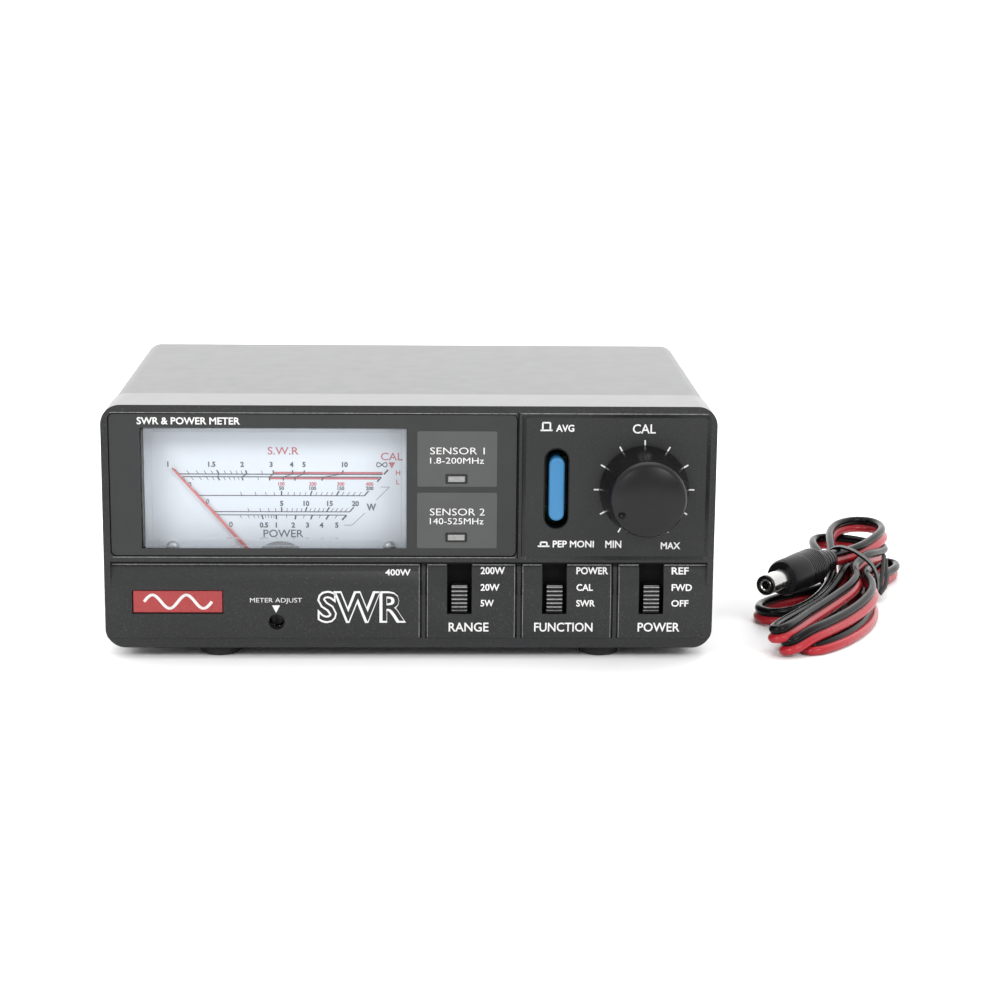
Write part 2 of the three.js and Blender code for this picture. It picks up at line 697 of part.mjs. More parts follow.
function socketShell(x) {
  const { rim, boreFloor, shellEnd, barrel, bore, neck } = COAX;
  const flange = REAR + GAP;
  const half = 12.7;
  const pitch = 9.1;
  const outline = roundedRectangle(x - half, x + half, SOCKET_Z - half, SOCKET_Z + half, 1.5);
  const square = cut(
    plate(outline, flange, flange + 2, 2),
    rod(6.8, flange - 1, flange + 3, x, SOCKET_Z, 20),
    ...[[-1, -1], [1, -1], [-1, 1], [1, 1]].map(([sx, sz]) => (
      rod(1.6, flange - 1, flange + 3, x + sx * pitch, SOCKET_Z + sz * pitch, 8)
    )),
  );
  const tube = turned([
    [barrel, flange], [barrel, rim - 0.5], [barrel - 0.5, rim], [bore, rim], [bore, boreFloor],
    [neck, boreFloor], [neck, shellEnd], [7.5, shellEnd], [7.5, flange], [barrel, flange],
  ], x, SOCKET_Z, 20);
  return union(square, tube);
}

function socketInsulator(x) {
  const { insulatorFace, insulatorEnd, boreFloor } = COAX;
  const [inner, stem, outer] = [COAX.pin + GAP, COAX.neck - GAP, COAX.bore - GAP];
  return turned([
    [inner, insulatorEnd], [stem, insulatorEnd], [stem, boreFloor + GAP], [outer, boreFloor + GAP],
    [outer, insulatorFace], [inner, insulatorFace], [inner, insulatorEnd],
  ], x, SOCKET_Z, 16);
}

function socketContact(x) {
  const { pin, pinBore, pinFace, pinEnd } = COAX;
  const tag = pin / 2;
  return turned([
    [0, pinEnd], [tag, pinEnd], [tag, 95], [pin, 95], [pin, pinFace], [pinBore, pinFace + 0.4],
    [pinBore, 106], [0, 106],
  ], x, SOCKET_Z, 12);
}

for (const [name, x] of Object.entries(SOCKETS)) {
  add(`socket_${name}`, socketShell(x), nickel);
  add(`insulator_${name}`, socketInsulator(x), ivory);
  add(`contact_${name}`, socketContact(x), brass);
}

const SENSOR_BOX = { halfWidth: 30, z0: 14, z1: 48, front: 72, wall: 0.8, hole: 8.2 };

for (const [number, side] of [[1, -1], [2, 1]]) {
  const { halfWidth, z0, z1, front, wall } = SENSOR_BOX;
  const centre = side * (SOCKETS['2_input'] + SOCKETS['2_output']) / 2;
  const back = REAR - STEEL - GAP;
  const [x0, x1] = [centre - halfWidth, centre + halfWidth];
  const spacing = (SOCKETS['2_output'] - SOCKETS['2_input']) / 2;
  add(`sensor_${number}_box`, cut(
    box(x0, x1, front, back, z0, z1),
    box(x0 + wall, x1 - wall, front - 1, back - wall, z0 + wall, z1 - wall),
    rod(SENSOR_BOX.hole, back - 2, back + 1, centre - spacing, SOCKET_Z, 16),
    rod(SENSOR_BOX.hole, back - 2, back + 1, centre + spacing, SOCKET_Z, 16),
  ), tinplate);
  add(`sensor_${number}_board`, box(
    x0, x1, front - GAP - BOARD_THICKNESS, front - GAP, z0, z1,
  ), board);
}

add('dc_jack', turned([
  [0, JACK.end], [JACK.body, JACK.end], [JACK.body, REAR + GAP], [JACK.flange, REAR + GAP],
  [JACK.flange, JACK.face], [JACK.bore, JACK.face], [JACK.bore, JACK.floor],
  [JACK.pin, JACK.floor], [JACK.pin, JACK.pinFace], [0, JACK.pinFace],
], 0, JACK_Z, 16), blackPlastic);

// ---- DC lead ----

// A turned piece of the plug: points are [radius, distance from the tip].
function alongPlug(points, segments) {
  const direction = PLUG_TAIL.clone().sub(PLUG_TIP).normalize();
  const profile = points.map(([radius, along]) => new THREE.Vector2(radius, along));
  const geometry = outward(new THREE.LatheGeometry(profile, segments));
  geometry.applyQuaternion(new THREE.Quaternion().setFromUnitVectors(
    new THREE.Vector3(0, 1, 0), direction,
  ));
  geometry.translate(PLUG_TIP.x, PLUG_TIP.y, PLUG_TIP.z);
  return solid(geometry);
}

const PLUG = { length: PLUG_TIP.distanceTo(PLUG_TAIL), barrel: 2.75, bore: 1.25, barrelEnd: 12, body: 9.5 };
const PLUG_CLEAR = PLUG.barrel + GAP;

add('plug_barrel', alongPlug([
  [PLUG.bore, 0], [PLUG.barrel, 0], [PLUG.barrel, PLUG.barrelEnd], [0, PLUG.barrelEnd], [0, 9],
  [PLUG.bore, 9], [PLUG.bore, 0],
], 16), nickel);
add('plug_body', alongPlug([
  [PLUG_CLEAR, PLUG.body], [4.6, PLUG.body], [5, PLUG.body + 0.5], [5.1, 28], [3.6, 30],
  [2.5, PLUG.length], [0, PLUG.length], [0, PLUG.barrelEnd + 0.4],
  [PLUG_CLEAR, PLUG.barrelEnd + 0.4], [PLUG_CLEAR, PLUG.body],
], 20), blackPlastic);

// Places a plan-view piece, drawn with u along the hank and v to its right, where the hank lies.
function alongHank(body) {
  const geometry = geometryOf(body);
  geometry.rotateZ(THREE.MathUtils.degToRad(AXIS));
  geometry.translate(TIE.x, TIE.y, 0);
  return geometry;
}

function flatPiece(outline, z0, z1) {
  const geometry = new THREE.ExtrudeGeometry(outline, {
    depth: z1 - z0, bevelEnabled: false, curveSegments: 5,
  });
  geometry.translate(0, 0, z0);
  return solid(geometry);
}

// The bundle's section where the tie draws it in.
const WAIST = { y0: -HANK.right + 3, y1: -HANK.left - 1.5, z0: 1.5, z1: HANK.height - 1 };

function hankSolid() {
  const { front, rear, left, right, height } = HANK;
  const radius = (right - left) / 2;
  const outline = roundedRectangle(front, rear, -right, -left, radius);
  const waist = 2.1; // half the length the tie draws in
  const band = box(-waist, waist, -right - 1, -left + 1, -1, height + 1);
  const core = box(-waist - 1, waist + 1, WAIST.y0, WAIST.y1, WAIST.z0, WAIST.z1);
  return cut(flatPiece(outline, 0, height), cut(band, core));
}

function tieBand() {
  const halfWidth = 1.8;
  const thick = 0.9;
  const [y0, y1, z0, z1] = [WAIST.y0 - GAP, WAIST.y1 + GAP, WAIST.z0 - GAP, WAIST.z1 + GAP];
  return cut(
    box(-halfWidth, halfWidth, y0 - thick, y1 + thick, z0 - thick, z1 + thick),
    box(-halfWidth - 1, halfWidth + 1, y0, y1, z0, z1),
  );
}

add('lead_hank', alongHank(hankSolid()), redLead);
add('lead_tie', alongHank(tieBand()), blackPlastic);

export default model;
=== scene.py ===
# Desktop SWR and power meter with its DC lead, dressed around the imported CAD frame.
# Lengths are written in millimetres and turned into metres by at(); x runs to the right of the
# front panel, depth runs back from its rim, and z runs up from the desk.

import math

import bmesh
import bpy
import numpy as np
from mathutils import Matrix, Vector


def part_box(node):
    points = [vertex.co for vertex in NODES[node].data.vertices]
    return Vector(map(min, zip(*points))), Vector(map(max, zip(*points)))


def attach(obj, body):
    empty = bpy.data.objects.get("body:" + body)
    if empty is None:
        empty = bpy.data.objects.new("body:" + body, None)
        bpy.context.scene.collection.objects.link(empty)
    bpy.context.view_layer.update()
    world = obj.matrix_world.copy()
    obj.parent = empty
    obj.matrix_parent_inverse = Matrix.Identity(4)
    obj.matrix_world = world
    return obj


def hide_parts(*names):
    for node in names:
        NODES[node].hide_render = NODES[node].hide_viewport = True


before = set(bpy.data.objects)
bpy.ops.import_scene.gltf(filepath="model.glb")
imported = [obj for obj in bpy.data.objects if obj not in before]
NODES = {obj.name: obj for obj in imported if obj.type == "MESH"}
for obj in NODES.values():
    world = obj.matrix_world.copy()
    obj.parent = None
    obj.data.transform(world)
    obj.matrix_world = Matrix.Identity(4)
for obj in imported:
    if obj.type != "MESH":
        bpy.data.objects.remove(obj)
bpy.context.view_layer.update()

MM = 0.001
FRONT_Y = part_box("front_bezel")[0][1]  # the panel's front rim, in metres


def at(x, depth, z):
    """A point in metres from its distances in mm."""
    return Vector((x * MM, FRONT_Y + depth * MM, z * MM))


BACKWARD, UP = Vector((0, 1, 0)), Vector((0, 0, 1))

# ---- camera ----

FOCAL_MM = 85.1
SENSOR_MM = 36
CAMERA_MM = (1.93, -583.8, 171.4)  # x, depth, z
YAW, PITCH, ROLL = (math.radians(a) for a in (2.04, 12.5, 0.58))


def make_camera():
    """A level tripod view of the front from a little above, turned and rolled by small angles."""
    data = bpy.data.cameras.new("camera")
    data.lens = FOCAL_MM
    data.sensor_width = SENSOR_MM
    data.clip_start = 0.05
    camera = bpy.data.objects.new("camera", data)
    bpy.context.scene.collection.objects.link(camera)
    forward = Vector((
        math.sin(YAW) * math.cos(PITCH), math.cos(YAW) * math.cos(PITCH), -math.sin(PITCH),
    ))
    level = Vector((math.cos(YAW), -math.sin(YAW), 0))
    up = level.cross(forward)
    side = math.cos(ROLL) * level + math.sin(ROLL) * up
    top = math.cos(ROLL) * up - math.sin(ROLL) * level
    turn = Matrix((side, top, -forward)).transposed().to_4x4()
    camera.matrix_world = Matrix.Translation(at(*CAMERA_MM)) @ turn
    bpy.context.scene.camera = camera


make_camera()

# ---- materials ----


class Nodes:
    """A small helper that adds and links shader nodes in one material."""

    def __init__(self, name):
        self.material = bpy.data.materials.new(name)
        self.material.use_nodes = True
        self.tree = self.material.node_tree
        self.shader = self.tree.nodes["Principled BSDF"]
        self.output = self.tree.nodes["Material Output"]
        self.coords = self.add("ShaderNodeTexCoord").outputs["Object"]

    def add(self, kind, **settings):
        node = self.tree.nodes.new(kind)
        for key, value in settings.items():
            setattr(node, key, value)
        return node

    def link(self, source, target):
        self.tree.links.new(source, target)

    def noise(self, scale, detail, roughness=0.5, stretch=None):
        node = self.add("ShaderNodeTexNoise")
        node.inputs["Scale"].default_value = scale
        node.inputs["Detail"].default_value = detail
        node.inputs["Roughness"].default_value = roughness
        source = self.coords
        if stretch:
            mapping = self.add("ShaderNodeMapping")
            mapping.inputs["Scale"].default_value = stretch
            self.link(source, mapping.inputs["Vector"])
            source = mapping.outputs["Vector"]
        self.link(source, node.inputs["Vector"])
        return node.outputs["Fac"]

    def ramp(self, source, low, high, out_low=0.0, out_high=1.0):
        node = self.add("ShaderNodeMapRange")
        node.inputs["From Min"].default_value = low
        node.inputs["From Max"].default_value = high
        node.inputs["To Min"].default_value = out_low
        node.inputs["To Max"].default_value = out_high
        self.link(source, node.inputs["Value"])
        return node.outputs["Result"]

    def mix(self, factor, first, second):
        node = self.add("ShaderNodeMix", data_type="RGBA")
        self.link(factor, node.inputs["Factor"])
        for socket, value in ((node.inputs["A"], first), (node.inputs["B"], second)):
            if isinstance(value, bpy.types.NodeSocket):
                self.link(value, socket)
            else:
                socket.default_value = (*value, 1)
        return node.outputs["Result"]

    def bump(self, height, strength, distance):
        node = self.add("ShaderNodeBump")
        node.inputs["Strength"].default_value = strength
        node.inputs["Distance"].default_value = distance
        self.link(height, node.inputs["Height"])
        return node.outputs["Normal"]


def surface(
    name, color, second, roughness, metallic=0.0, patch=60, fleck=None, grain=2500, relief=0.00002,
    strength=0.3, specular=0.5, spread=0.08, coat=0.0, stretch=None,
):
    """A finish whose colour drifts from color to second over patches, with a fine grain."""
    n = Nodes(name)
    drift = n.ramp(n.noise(patch, 4, 0.6, stretch), 0.3, 0.7)
    tone = n.mix(drift, color, second)
    fine = n.noise(grain, 3, 0.6, stretch)
    if fleck:
        fleck_color, share, fleck_scale = fleck
        spots = n.ramp(n.noise(fleck_scale, 1, 0.4), 1 - share, 1 - share + 0.06)
        tone = n.mix(spots, tone, fleck_color)
    n.link(tone, n.shader.inputs["Base Color"])
    n.link(
        n.ramp(n.noise(patch * 3, 3, 0.6, stretch), 0.3, 0.7, roughness - spread, roughness + spread),
        n.shader.inputs["Roughness"],
    )
    n.link(n.bump(fine, strength, relief), n.shader.inputs["Normal"])
    n.shader.inputs["Metallic"].default_value = metallic
    n.shader.inputs["Specular IOR Level"].default_value = specular
    n.shader.inputs["Coat Weight"].default_value = coat
    n.shader.inputs["Coat Roughness"].default_value = 0.08
    return n.material


charcoal = surface(
    "charcoal_moulding", (0.0120, 0.0124, 0.0130), (0.0150, 0.0154, 0.0160), 0.42,
    fleck=((0.034, 0.035, 0.037), 0.36, 3400), grain=3600, relief=0.00002, strength=0.35,
    specular=0.30, spread=0.02,
)
# A lighter, glossier copy of the charcoal moulding for the bezel's upward faces: painted sheen where
# the top catches the light
charcoal_painted_sheen = surface(
    "charcoal_painted_sheen", (0.020, 0.0204, 0.021), (0.023, 0.0234, 0.024), 0.30,
    fleck=((0.045, 0.046, 0.048), 0.36, 3400), grain=3600, relief=0.00001, strength=0.2,
    specular=0.8, spread=0.008,
)
facia_film = surface(
    "facia_film", (0.0190, 0.0197, 0.0200), (0.0220, 0.0227, 0.0230), 0.5, grain=1800, strength=0.12,
    specular=0.32,
)
patch_print = surface(
    "grey_print", (0.058, 0.059, 0.059), (0.064, 0.065, 0.065), 0.55, grain=1800, strength=0.1,
    specular=0.32,
)
white_print = surface(
    "white_print", (0.60, 0.60, 0.595), (0.66, 0.66, 0.655), 0.5, patch=900, grain=4000, strength=0.1,
)
cover_paint = surface(
    "cover_paint", (0.034, 0.035, 0.036), (0.038, 0.039, 0.040), 0.36, grain=3000,
    relief=0.00002, strength=0.25, specular=0.55, spread=0.012,
)
black_plastic = surface(
    "black_plastic", (0.006, 0.006, 0.0065), (0.010, 0.010, 0.0105), 0.4, grain=2400, specular=0.3,
)
gloss_black = surface(
    "gloss_black", (0.003, 0.003, 0.0035), (0.005, 0.005, 0.0055), 0.24, grain=900, strength=0.05,
    spread=0.03, specular=0.24,
)
satin_black = surface(
    "satin_black", (0.0045, 0.0045, 0.005), (0.0070, 0.0070, 0.0075), 0.30, grain=2600, relief=0.00003,
    strength=0.3, specular=0.26, spread=0.03,
)
# Near-black for painted shade: shadow strips in the panel's seams and the plates behind the slider
# slots
painted_shade_black = surface(
    "painted_shade_black", (0.0012, 0.0012, 0.0013), (0.002, 0.002, 0.0021), 0.6, grain=2400, specular=0.1,
)
# Light grey for the painted highlight on the upward faces of the slider ridges
painted_ridge_highlight = surface(
    "ridge_painted_highlight", (0.16, 0.16, 0.16), (0.32, 0.32, 0.32), 0.5, patch=1500, grain=3000, strength=0.1,
)
# Light grey for painted highlights, with some wear, along the front panel's edges
painted_highlight_wear_grey = surface(
    "painted_highlight_wear_edge", (0.085, 0.085, 0.087), (0.26, 0.26, 0.26), 0.5, patch=1500, grain=3000, strength=0.1,
)
pale_metal = surface(
    "pale_metal", (0.42, 0.43, 0.44), (0.50, 0.51, 0.52), 0.5, metallic=0.6, patch=300, grain=900,
    strength=0.1,
)
blue_plastic = surface(
    "blue_plastic", (0.026, 0.150, 0.315), (0.031, 0.165, 0.340), 0.38, grain=2200, strength=0.15,
    specular=0.4,
)
badge_red = surface(
    "badge_red", (0.26, 0.012, 0.013), (0.29, 0.015, 0.016), 0.3, patch=200, grain=1500,
    strength=0.1, coat=0.2,
)
badge_white = surface(
    "badge_white", (0.56, 0.55, 0.545), (0.62, 0.61, 0.60), 0.35, patch=600, strength=0.1,
)
dial_card = surface(
    "dial_card", (0.59, 0.617, 0.668), (0.615, 0.645, 0.692), 0.7, patch=25, grain=3000, strength=0.08,
)
dial_ink = surface(
    "dial_ink", (0.040, 0.045, 0.055), (0.055, 0.06, 0.073), 0.7, patch=1200, grain=3000, strength=0.1,
)
dial_grey = surface(
    "dial_grey", (0.085, 0.09, 0.10), (0.105, 0.11, 0.125), 0.7, patch=1200, grain=3000, strength=0.1,
)
dial_red = surface(
    "dial_red", (0.40, 0.085, 0.11), (0.46, 0.12, 0.145), 0.7, patch=1200, grain=3000, strength=0.1,
)
needle_red = surface(
    "needle_red", (0.50, 0.10, 0.10), (0.56, 0.13, 0.125), 0.55, patch=400, grain=3000, strength=0.1,
)
grey_plastic = surface(
    "grey_plastic", (0.20, 0.205, 0.215), (0.24, 0.245, 0.255), 0.5, grain=2400, strength=0.15,
)
led_lens = surface(
    "led_lens", (0.30, 0.30, 0.30), (0.37, 0.37, 0.36), 0.4, patch=800, grain=1500, strength=0.2,
)
led_glow = surface(
    "led_body", (0.11, 0.11, 0.11), (0.13, 0.13, 0.13), 0.4, patch=800, grain=1500, strength=0.2,
)
nickel = surface(
    "nickel_plate", (0.46, 0.455, 0.44), (0.52, 0.515, 0.50), 0.24, metallic=1, patch=150, grain=900,
    strength=0.12, spread=0.06,
)
brass = surface(
    "brass_turned", (0.60, 0.40, 0.14), (0.68, 0.47, 0.19), 0.28, metallic=1, patch=200,
    grain=1500, strength=0.15,
)
tinplate = surface(
    "tinplate", (0.48, 0.49, 0.50), (0.56, 0.57, 0.58), 0.35, metallic=1, patch=80,
    grain=1200, stretch=(1, 1, 8), strength=0.15,
)
ivory = surface(
    "ivory_plastic", (0.42, 0.40, 0.33), (0.48, 0.455, 0.38), 0.45, grain=1800, strength=0.15,
)
rubber = surface(
    "black_rubber", (0.006, 0.006, 0.006), (0.012, 0.012, 0.012), 0.75, grain=1800,
    relief=0.00004, strength=0.5, specular=0.4,
)
circuit_board = surface(
    "circuit_board", (0.02, 0.11, 0.04), (0.03, 0.15, 0.06), 0.4, patch=120, grain=900,
)
copper = surface(
    "copper_winding", (0.42, 0.18, 0.07), (0.52, 0.24, 0.10), 0.35, metallic=1,
    patch=300, grain=3000, stretch=(1, 20, 1),
)
red_vinyl = surface(
    "red_vinyl", (0.30, 0.010, 0.017), (0.33, 0.013, 0.020), 0.28, patch=60, grain=900,
    relief=0.00001, strength=0.03, spread=0.015, specular=0.3,
)
black_vinyl = surface(
    "black_vinyl", (0.0016, 0.0016, 0.002), (0.003, 0.003, 0.0034), 0.24, patch=120, grain=900,
    relief=0.00003, strength=0.06, spread=0.04, specular=0.13,
)
plug_black = surface(
    "plug_black", (0.004, 0.004, 0.0045), (0.007, 0.007, 0.0075), 0.36, grain=1600,
    relief=0.00003, strength=0.3, specular=0.2,
)


def clear_plastic():
    """Clear lens plastic: what lies behind shows through, with more gloss at a glancing angle."""
    n = Nodes("clear_lens")
    clear = n.add("ShaderNodeBsdfTransparent")
    clear.inputs["Color"].default_value = (0.975, 0.985, 0.99, 1)
    gloss = n.add("ShaderNodeBsdfGlossy")
    gloss.inputs["Color"].default_value = (1, 1, 1, 1)
    n.link(n.ramp(n.noise(80, 3), 0.3, 0.7, 0.02, 0.06), gloss.inputs["Roughness"])
    facing = n.add("ShaderNodeLayerWeight").outputs["Facing"]
    edge_gloss = n.ramp(facing, 0.35, 1.0, 0.035, 0.4)
    mixer = n.add("ShaderNodeMixShader")
    n.link(edge_gloss, mixer.inputs["Fac"])
    n.link(clear.outputs["BSDF"], mixer.inputs[1])
    n.link(gloss.outputs["BSDF"], mixer.inputs[2])
    n.link(mixer.outputs["Shader"], n.output.inputs["Surface"])
    n.tree.nodes.remove(n.shader)
    return n.material


clear_lens = clear_plastic()

# ---- mesh helpers ----


def new_piece(name, bm, body, materials, slot, crease=30, replaces=()):
    """Turns a bmesh, in metres, into a named piece that rides on a body."""
    mesh = bpy.data.meshes.new(name)
    bmesh.ops.recalc_face_normals(bm, faces=bm.faces)
    bm.to_mesh(mesh)
    bm.free()
    mesh.shade_smooth()
    mesh.set_sharp_from_angle(angle=math.radians(crease))
    for material in materials if isinstance(materials, (list, tuple)) else [materials]:
        mesh.materials.append(material)
    piece = bpy.data.objects.new(name, mesh)
    bpy.context.scene.collection.objects.link(piece)
    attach(piece, body)
    if replaces:
        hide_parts(*replaces)
    return piece


def bevel(piece, width, segments, angle=30):
    """Rounds a piece's edges; width in mm, angle in degrees."""
    modifier = piece.modifiers.new("rounded_edges", "BEVEL")
    modifier.width = width * MM
    modifier.segments = segments
    modifier.limit_method = "ANGLE"
    modifier.angle_limit = math.radians(angle)
    modifier.harden_normals = True
    modifier.use_clamp_overlap = True
    return piece


def refined(node, body, material, slot, width, segments=2, angle=30):
    """A CAD node's own shape with its edges rounded as a moulding's are."""
    bm = bmesh.new()
    bm.from_mesh(NODES[node].data)
    bmesh.ops.remove_doubles(bm, verts=bm.verts, dist=0.000002)
    bmesh.ops.dissolve_limit(
        bm, angle_limit=math.radians(1), verts=bm.verts, edges=bm.edges, delimit=set(),
    )
    piece = new_piece(f"{node}_moulding", bm, body, material, slot, replaces=(node,))
    return bevel(piece, width, segments, angle)


def ring_points(radius, along, segments, origin, axis):
    """Points round an axis, all in metres."""
    side = axis.orthogonal().normalized()
    other = axis.cross(side)
    return [
        origin + axis * along
        + radius * (math.cos(turn) * side + math.sin(turn) * other)
        for turn in (2 * math.pi * i / segments for i in range(segments))
    ]


def turn_profile(bm, profile, segments, origin, axis, material_at=None):
    """Adds a body of revolution: profile points are (radius, distance along axis), in mm."""
    rows = []
    for radius, along in profile:
        if radius <= 0:
            rows.append([bm.verts.new(origin + axis * along * MM)])
        else:
            rows.append([
                bm.verts.new(p)
                for p in ring_points(radius * MM, along * MM, segments, origin, axis)
            ])
    for index, (low, high) in enumerate(zip(rows, rows[1:])):
        for i in range(segments):
            j = (i + 1) % segments
            corners = [low[i % len(low)], low[j % len(low)], high[j % len(high)], high[i % len(high)]]
            corners = list(dict.fromkeys(corners))
            if len(corners) < 3:
                continue
            face = bm.faces.new(corners)
            if material_at:
                face.material_index = material_at(index)


def bridge(bm, low, high):
    """Joins two rings of vertices by a band of faces."""
    count = len(low)
    return [
        bm.faces.new((low[i], low[(i + 1) % count], high[(i + 1) % count], high[i]))
        for i in range(count)
    ]


def skin(bm, rings, closed=False):
    """Joins rings of vertices in a row: into a closed loop, or with a cap on each end."""
    following = rings[1:] + rings[:1] if closed else rings[1:]
    for low, high in zip(rings, following):
        bridge(bm, low, high)
    if not closed:
        bm.faces.new(rings[0])
        bm.faces.new(rings[-1][::-1])


def turned(name, profile, segments, origin, axis, material, slot, **options):
    """A piece of the housing that is one body of revolution."""
    bm = bmesh.new()
    turn_profile(bm, profile, segments, origin, axis)
    return new_piece(name, bm, "housing", material, slot, **options)


def prism(bm, outline, depth0, depth1):
    """Adds a front-view outline (points x, z) given thickness between two depths."""
    front = [bm.verts.new(at(x, depth0, z)) for x, z in outline]
    back = [bm.verts.new(at(x, depth1, z)) for x, z in outline]
    bm.faces.new(front)
    bm.faces.new(back[::-1])
    bridge(bm, back, front)


def rectangle(x0, x1, z0, z1):
    return [(x0, z0), (x1, z0), (x1, z1), (x0, z1)]


def rounded(x0, x1, z0, z1, radius, steps):
    """Outline of a rectangle with round corners."""
    points = []
    corners = ((x1, z0, -90), (x1, z1, 0), (x0, z1, 90), (x0, z0, 180))
    for x, z, start in corners:
        cx = x - math.copysign(radius, x - (x0 + x1) / 2)
        cz = z - math.copysign(radius, z - (z0 + z1) / 2)
        for i in range(steps + 1):
            angle = math.radians(start + 90 * i / steps)
            points.append((cx + radius * math.cos(angle), cz + radius * math.sin(angle)))
    return points


# ---- DC lead ----

WIRE = 2.35  # across one core, mm
RIBBON = 4.7  # across both cores
PLUG_TIP = (95.1, 27.7, 12.4)  # x, depth, z of the plug's open end
PLUG_TAIL = (117.8, 58.0, 12.4)
TIE = (123.0, 60.0)  # x, depth
HANK_AXIS = math.radians(67)

# The lead's run as u along the hank, v to its right and z up, with the tilt of its two cores.
ROUTE = [
    (-3.9, -4.0, 12.4, 0), (0.5, -3.1, 11.9, 0), (7, -1.2, 11.4, 8), (13, 0.9, 11.4, 16),
    (19, 2.2, 11.6, 22), (26, 3.2, 12.0, 24), (33, 3.0, 12.2, 18), (39, 0.6, 12.3, 8),
    (42, -3.4, 12.3, 0), (40.2, -8, 12.3, -6), (34, -10.8, 12.2, -10), (26, -10.8, 11.8, -10),
    (18, -9.0, 11.0, -6), (10, -6.6, 9.6, -4), (4, -4.9, 8.0, 0), (0, -4.2, 7.2, 0),
    (-4, -3.4, 6.6, 0), (-9, -2.8, 5.6, -4), (-16, -2.9, 4.5, -8), (-24, -3.9, 3.7, -8),
    (-31, -6.2, 3.1, -8), (-35.2, -9.6, 2.8, -8), (-36.0, -13.2, 2.7, -8), (-33.4, -16.4, 2.7, -8),
    (-28, -17.2, 2.7, -8), (-21, -15.2, 2.7, -6), (-14, -11.6, 2.7, -4), (-7, -7.4, 2.8, 0),
    (0, -4.4, 3.0, 0), (6, -5.0, 4.2, 0), (13, -9.0, 6.2, 4), (20, -13.0, 7.3, 6),
    (26.5, -16.0, 7.7, 6), (32, -16.8, 7.8, 6), (35.4, -14.2, 7.8, 8), (35.8, -8.8, 7.8, 10),
    (34.6, -3.0, 7.6, 10), (32.3, 2.4, 7.3, 12), (27.8, 4.4, 7.1, 14), (21, 4.2, 7.2, 12),
    (14, 3.6, 7.4, 8), (6, 2.8, 7.6, 0), (0, 2.4, 7.8, 0), (-5, 3.6, 7.9, -8),
    (-10, 5.2, 7.9, -16), (-18, 5.4, 7.6, -24), (-28, 4.0, 7.2, -28), (-38, 2.6, 7.0, -28),
    (-48, 1.2, 6.8, -28), (-57, 0.2, 6.5, -24), (-63.0, -0.9, 6.2, -16), (-65.6, -2.6, 5.9, -8),
    (-64.0, -4.6, 5.6, -4), (-57, -5.0, 5.2, 0), (-47, -4.6, 4.6, 0), (-36, -3.4, 4.2, 0),
    (-26, -1.6, 4.4, 0), (-16, -0.4, 5.2, 0), (-8, 0.0, 6.4, 0), (0, -0.2, 7.4, 0),
    (6, 0.4, 6.4, 0), (13, 1.2, 4.6, 4), (20.5, 2.2, 3.2, 8), (26.5, 2.6, 2.7, 10),
    (31.5, 3.2, 2.6, 12), (33.8, 5.0, 2.6, 12), (31.6, 7.3, 2.6, 12), (26.5, 8.0, 2.6, 10),
    (20, 7.2, 2.7, 6), (12, 6.3, 2.9, 0), (5, 6.5, 3.0, 0), (0, 6.9, 3.0, -6),
    (-7, 8.4, 2.6, -20), (-15, 10.6, 2.2, -44), (-26, 11.9, 1.8, -64), (-37, 11.5, 1.6, -70),
    (-47, 9.8, 1.6, -70), (-54.5, 7.2, 1.6, -70), (-58.6, 4.6, 1.6, -70), (-57.0, 2.6, 1.6, -66),
    (-50, 2.4, 1.8, -50), (-42, 2.8, 2.0, -36), (-30, 3.6, 2.3, -20), (-16, 3.6, 2.6, 0),
    (-6, 3.8, 2.9, 0), (0, 3.9, 3.0, 0), (6, 1.4, 3.0, 0), (13, -2.4, 2.8, 0),
    (20, -5.4, 2.6, 0), (25, -6.4, 2.6, 0), (28.4, -4.6, 2.6, 0), (28.0, -1.4, 2.7, 0),
    (23, -0.2, 3.2, 0), (17, 1.0, 4.6, 0), (9, 3.4, 6.4, 0), (4, 4.9, 7.4, 0),
    (0, 5.3, 7.6, 0), (-5, 6.8, 7.6, -6), (-10, 9.4, 7.1, -14), (-17, 11.2, 6.3, -22),
    (-26, 11.2, 5.6, -28), (-37, 9.7, 5.2, -30), (-48, 7.4, 4.9, -30), (-56, 5.2, 4.5, -26),
    (-61.6, 2.8, 3.8, -20), (-64.4, 0.4, 3.1, -14), (-62.8, -1.8, 2.7, -8), (-56, -2.4, 2.5, 0),
    (-44, -1.2, 2.5, 0), (-30, 0.6, 2.6, 0), (-16, 1.2, 2.8, 0), (-6, 1.2, 3.0, 0),
    (0, 1.2, 3.0, 0), (6, -1.2, 3.0, 0), (13, -1.6, 2.8, 0), (20, -3.0, 2.6, 0),
]


def spline(p0, p1, p2, p3, steps):
    """The Catmull-Rom curve from p1 up to p2, as a list of points without the last."""
    return [
        0.5 * (
            2 * p1 + (p2 - p0) * t + (2 * p0 - 5 * p1 + 4 * p2 - p3) * t ** 2
            + (3 * p1 - p0 - 3 * p2 + p3) * t ** 3
        )
        for t in np.linspace(0, 1, steps, endpoint=False)
    ]


def smooth_route(points, step):
    """A smooth curve through the points, resampled to equal steps of the given length in mm."""
    points = np.array(points, float)
    last = len(points) - 1
    dense = []
    for i in range(last):
        before, after = points[max(i - 1, 0)], points[min(i + 2, last)]
        dense += spline(before, points[i], points[i + 1], after, 12)
    dense = np.array(dense + [points[-1]])
    lengths = np.linalg.norm(np.diff(dense[:, :3], axis=0), axis=1)
    travelled = np.concatenate([[0], np.cumsum(lengths)])
    count = int(round(travelled[-1] / step))
    wanted = np.linspace(0, travelled[-1], count + 1)
    return np.column_stack([np.interp(wanted, travelled, dense[:, k]) for k in range(4)])


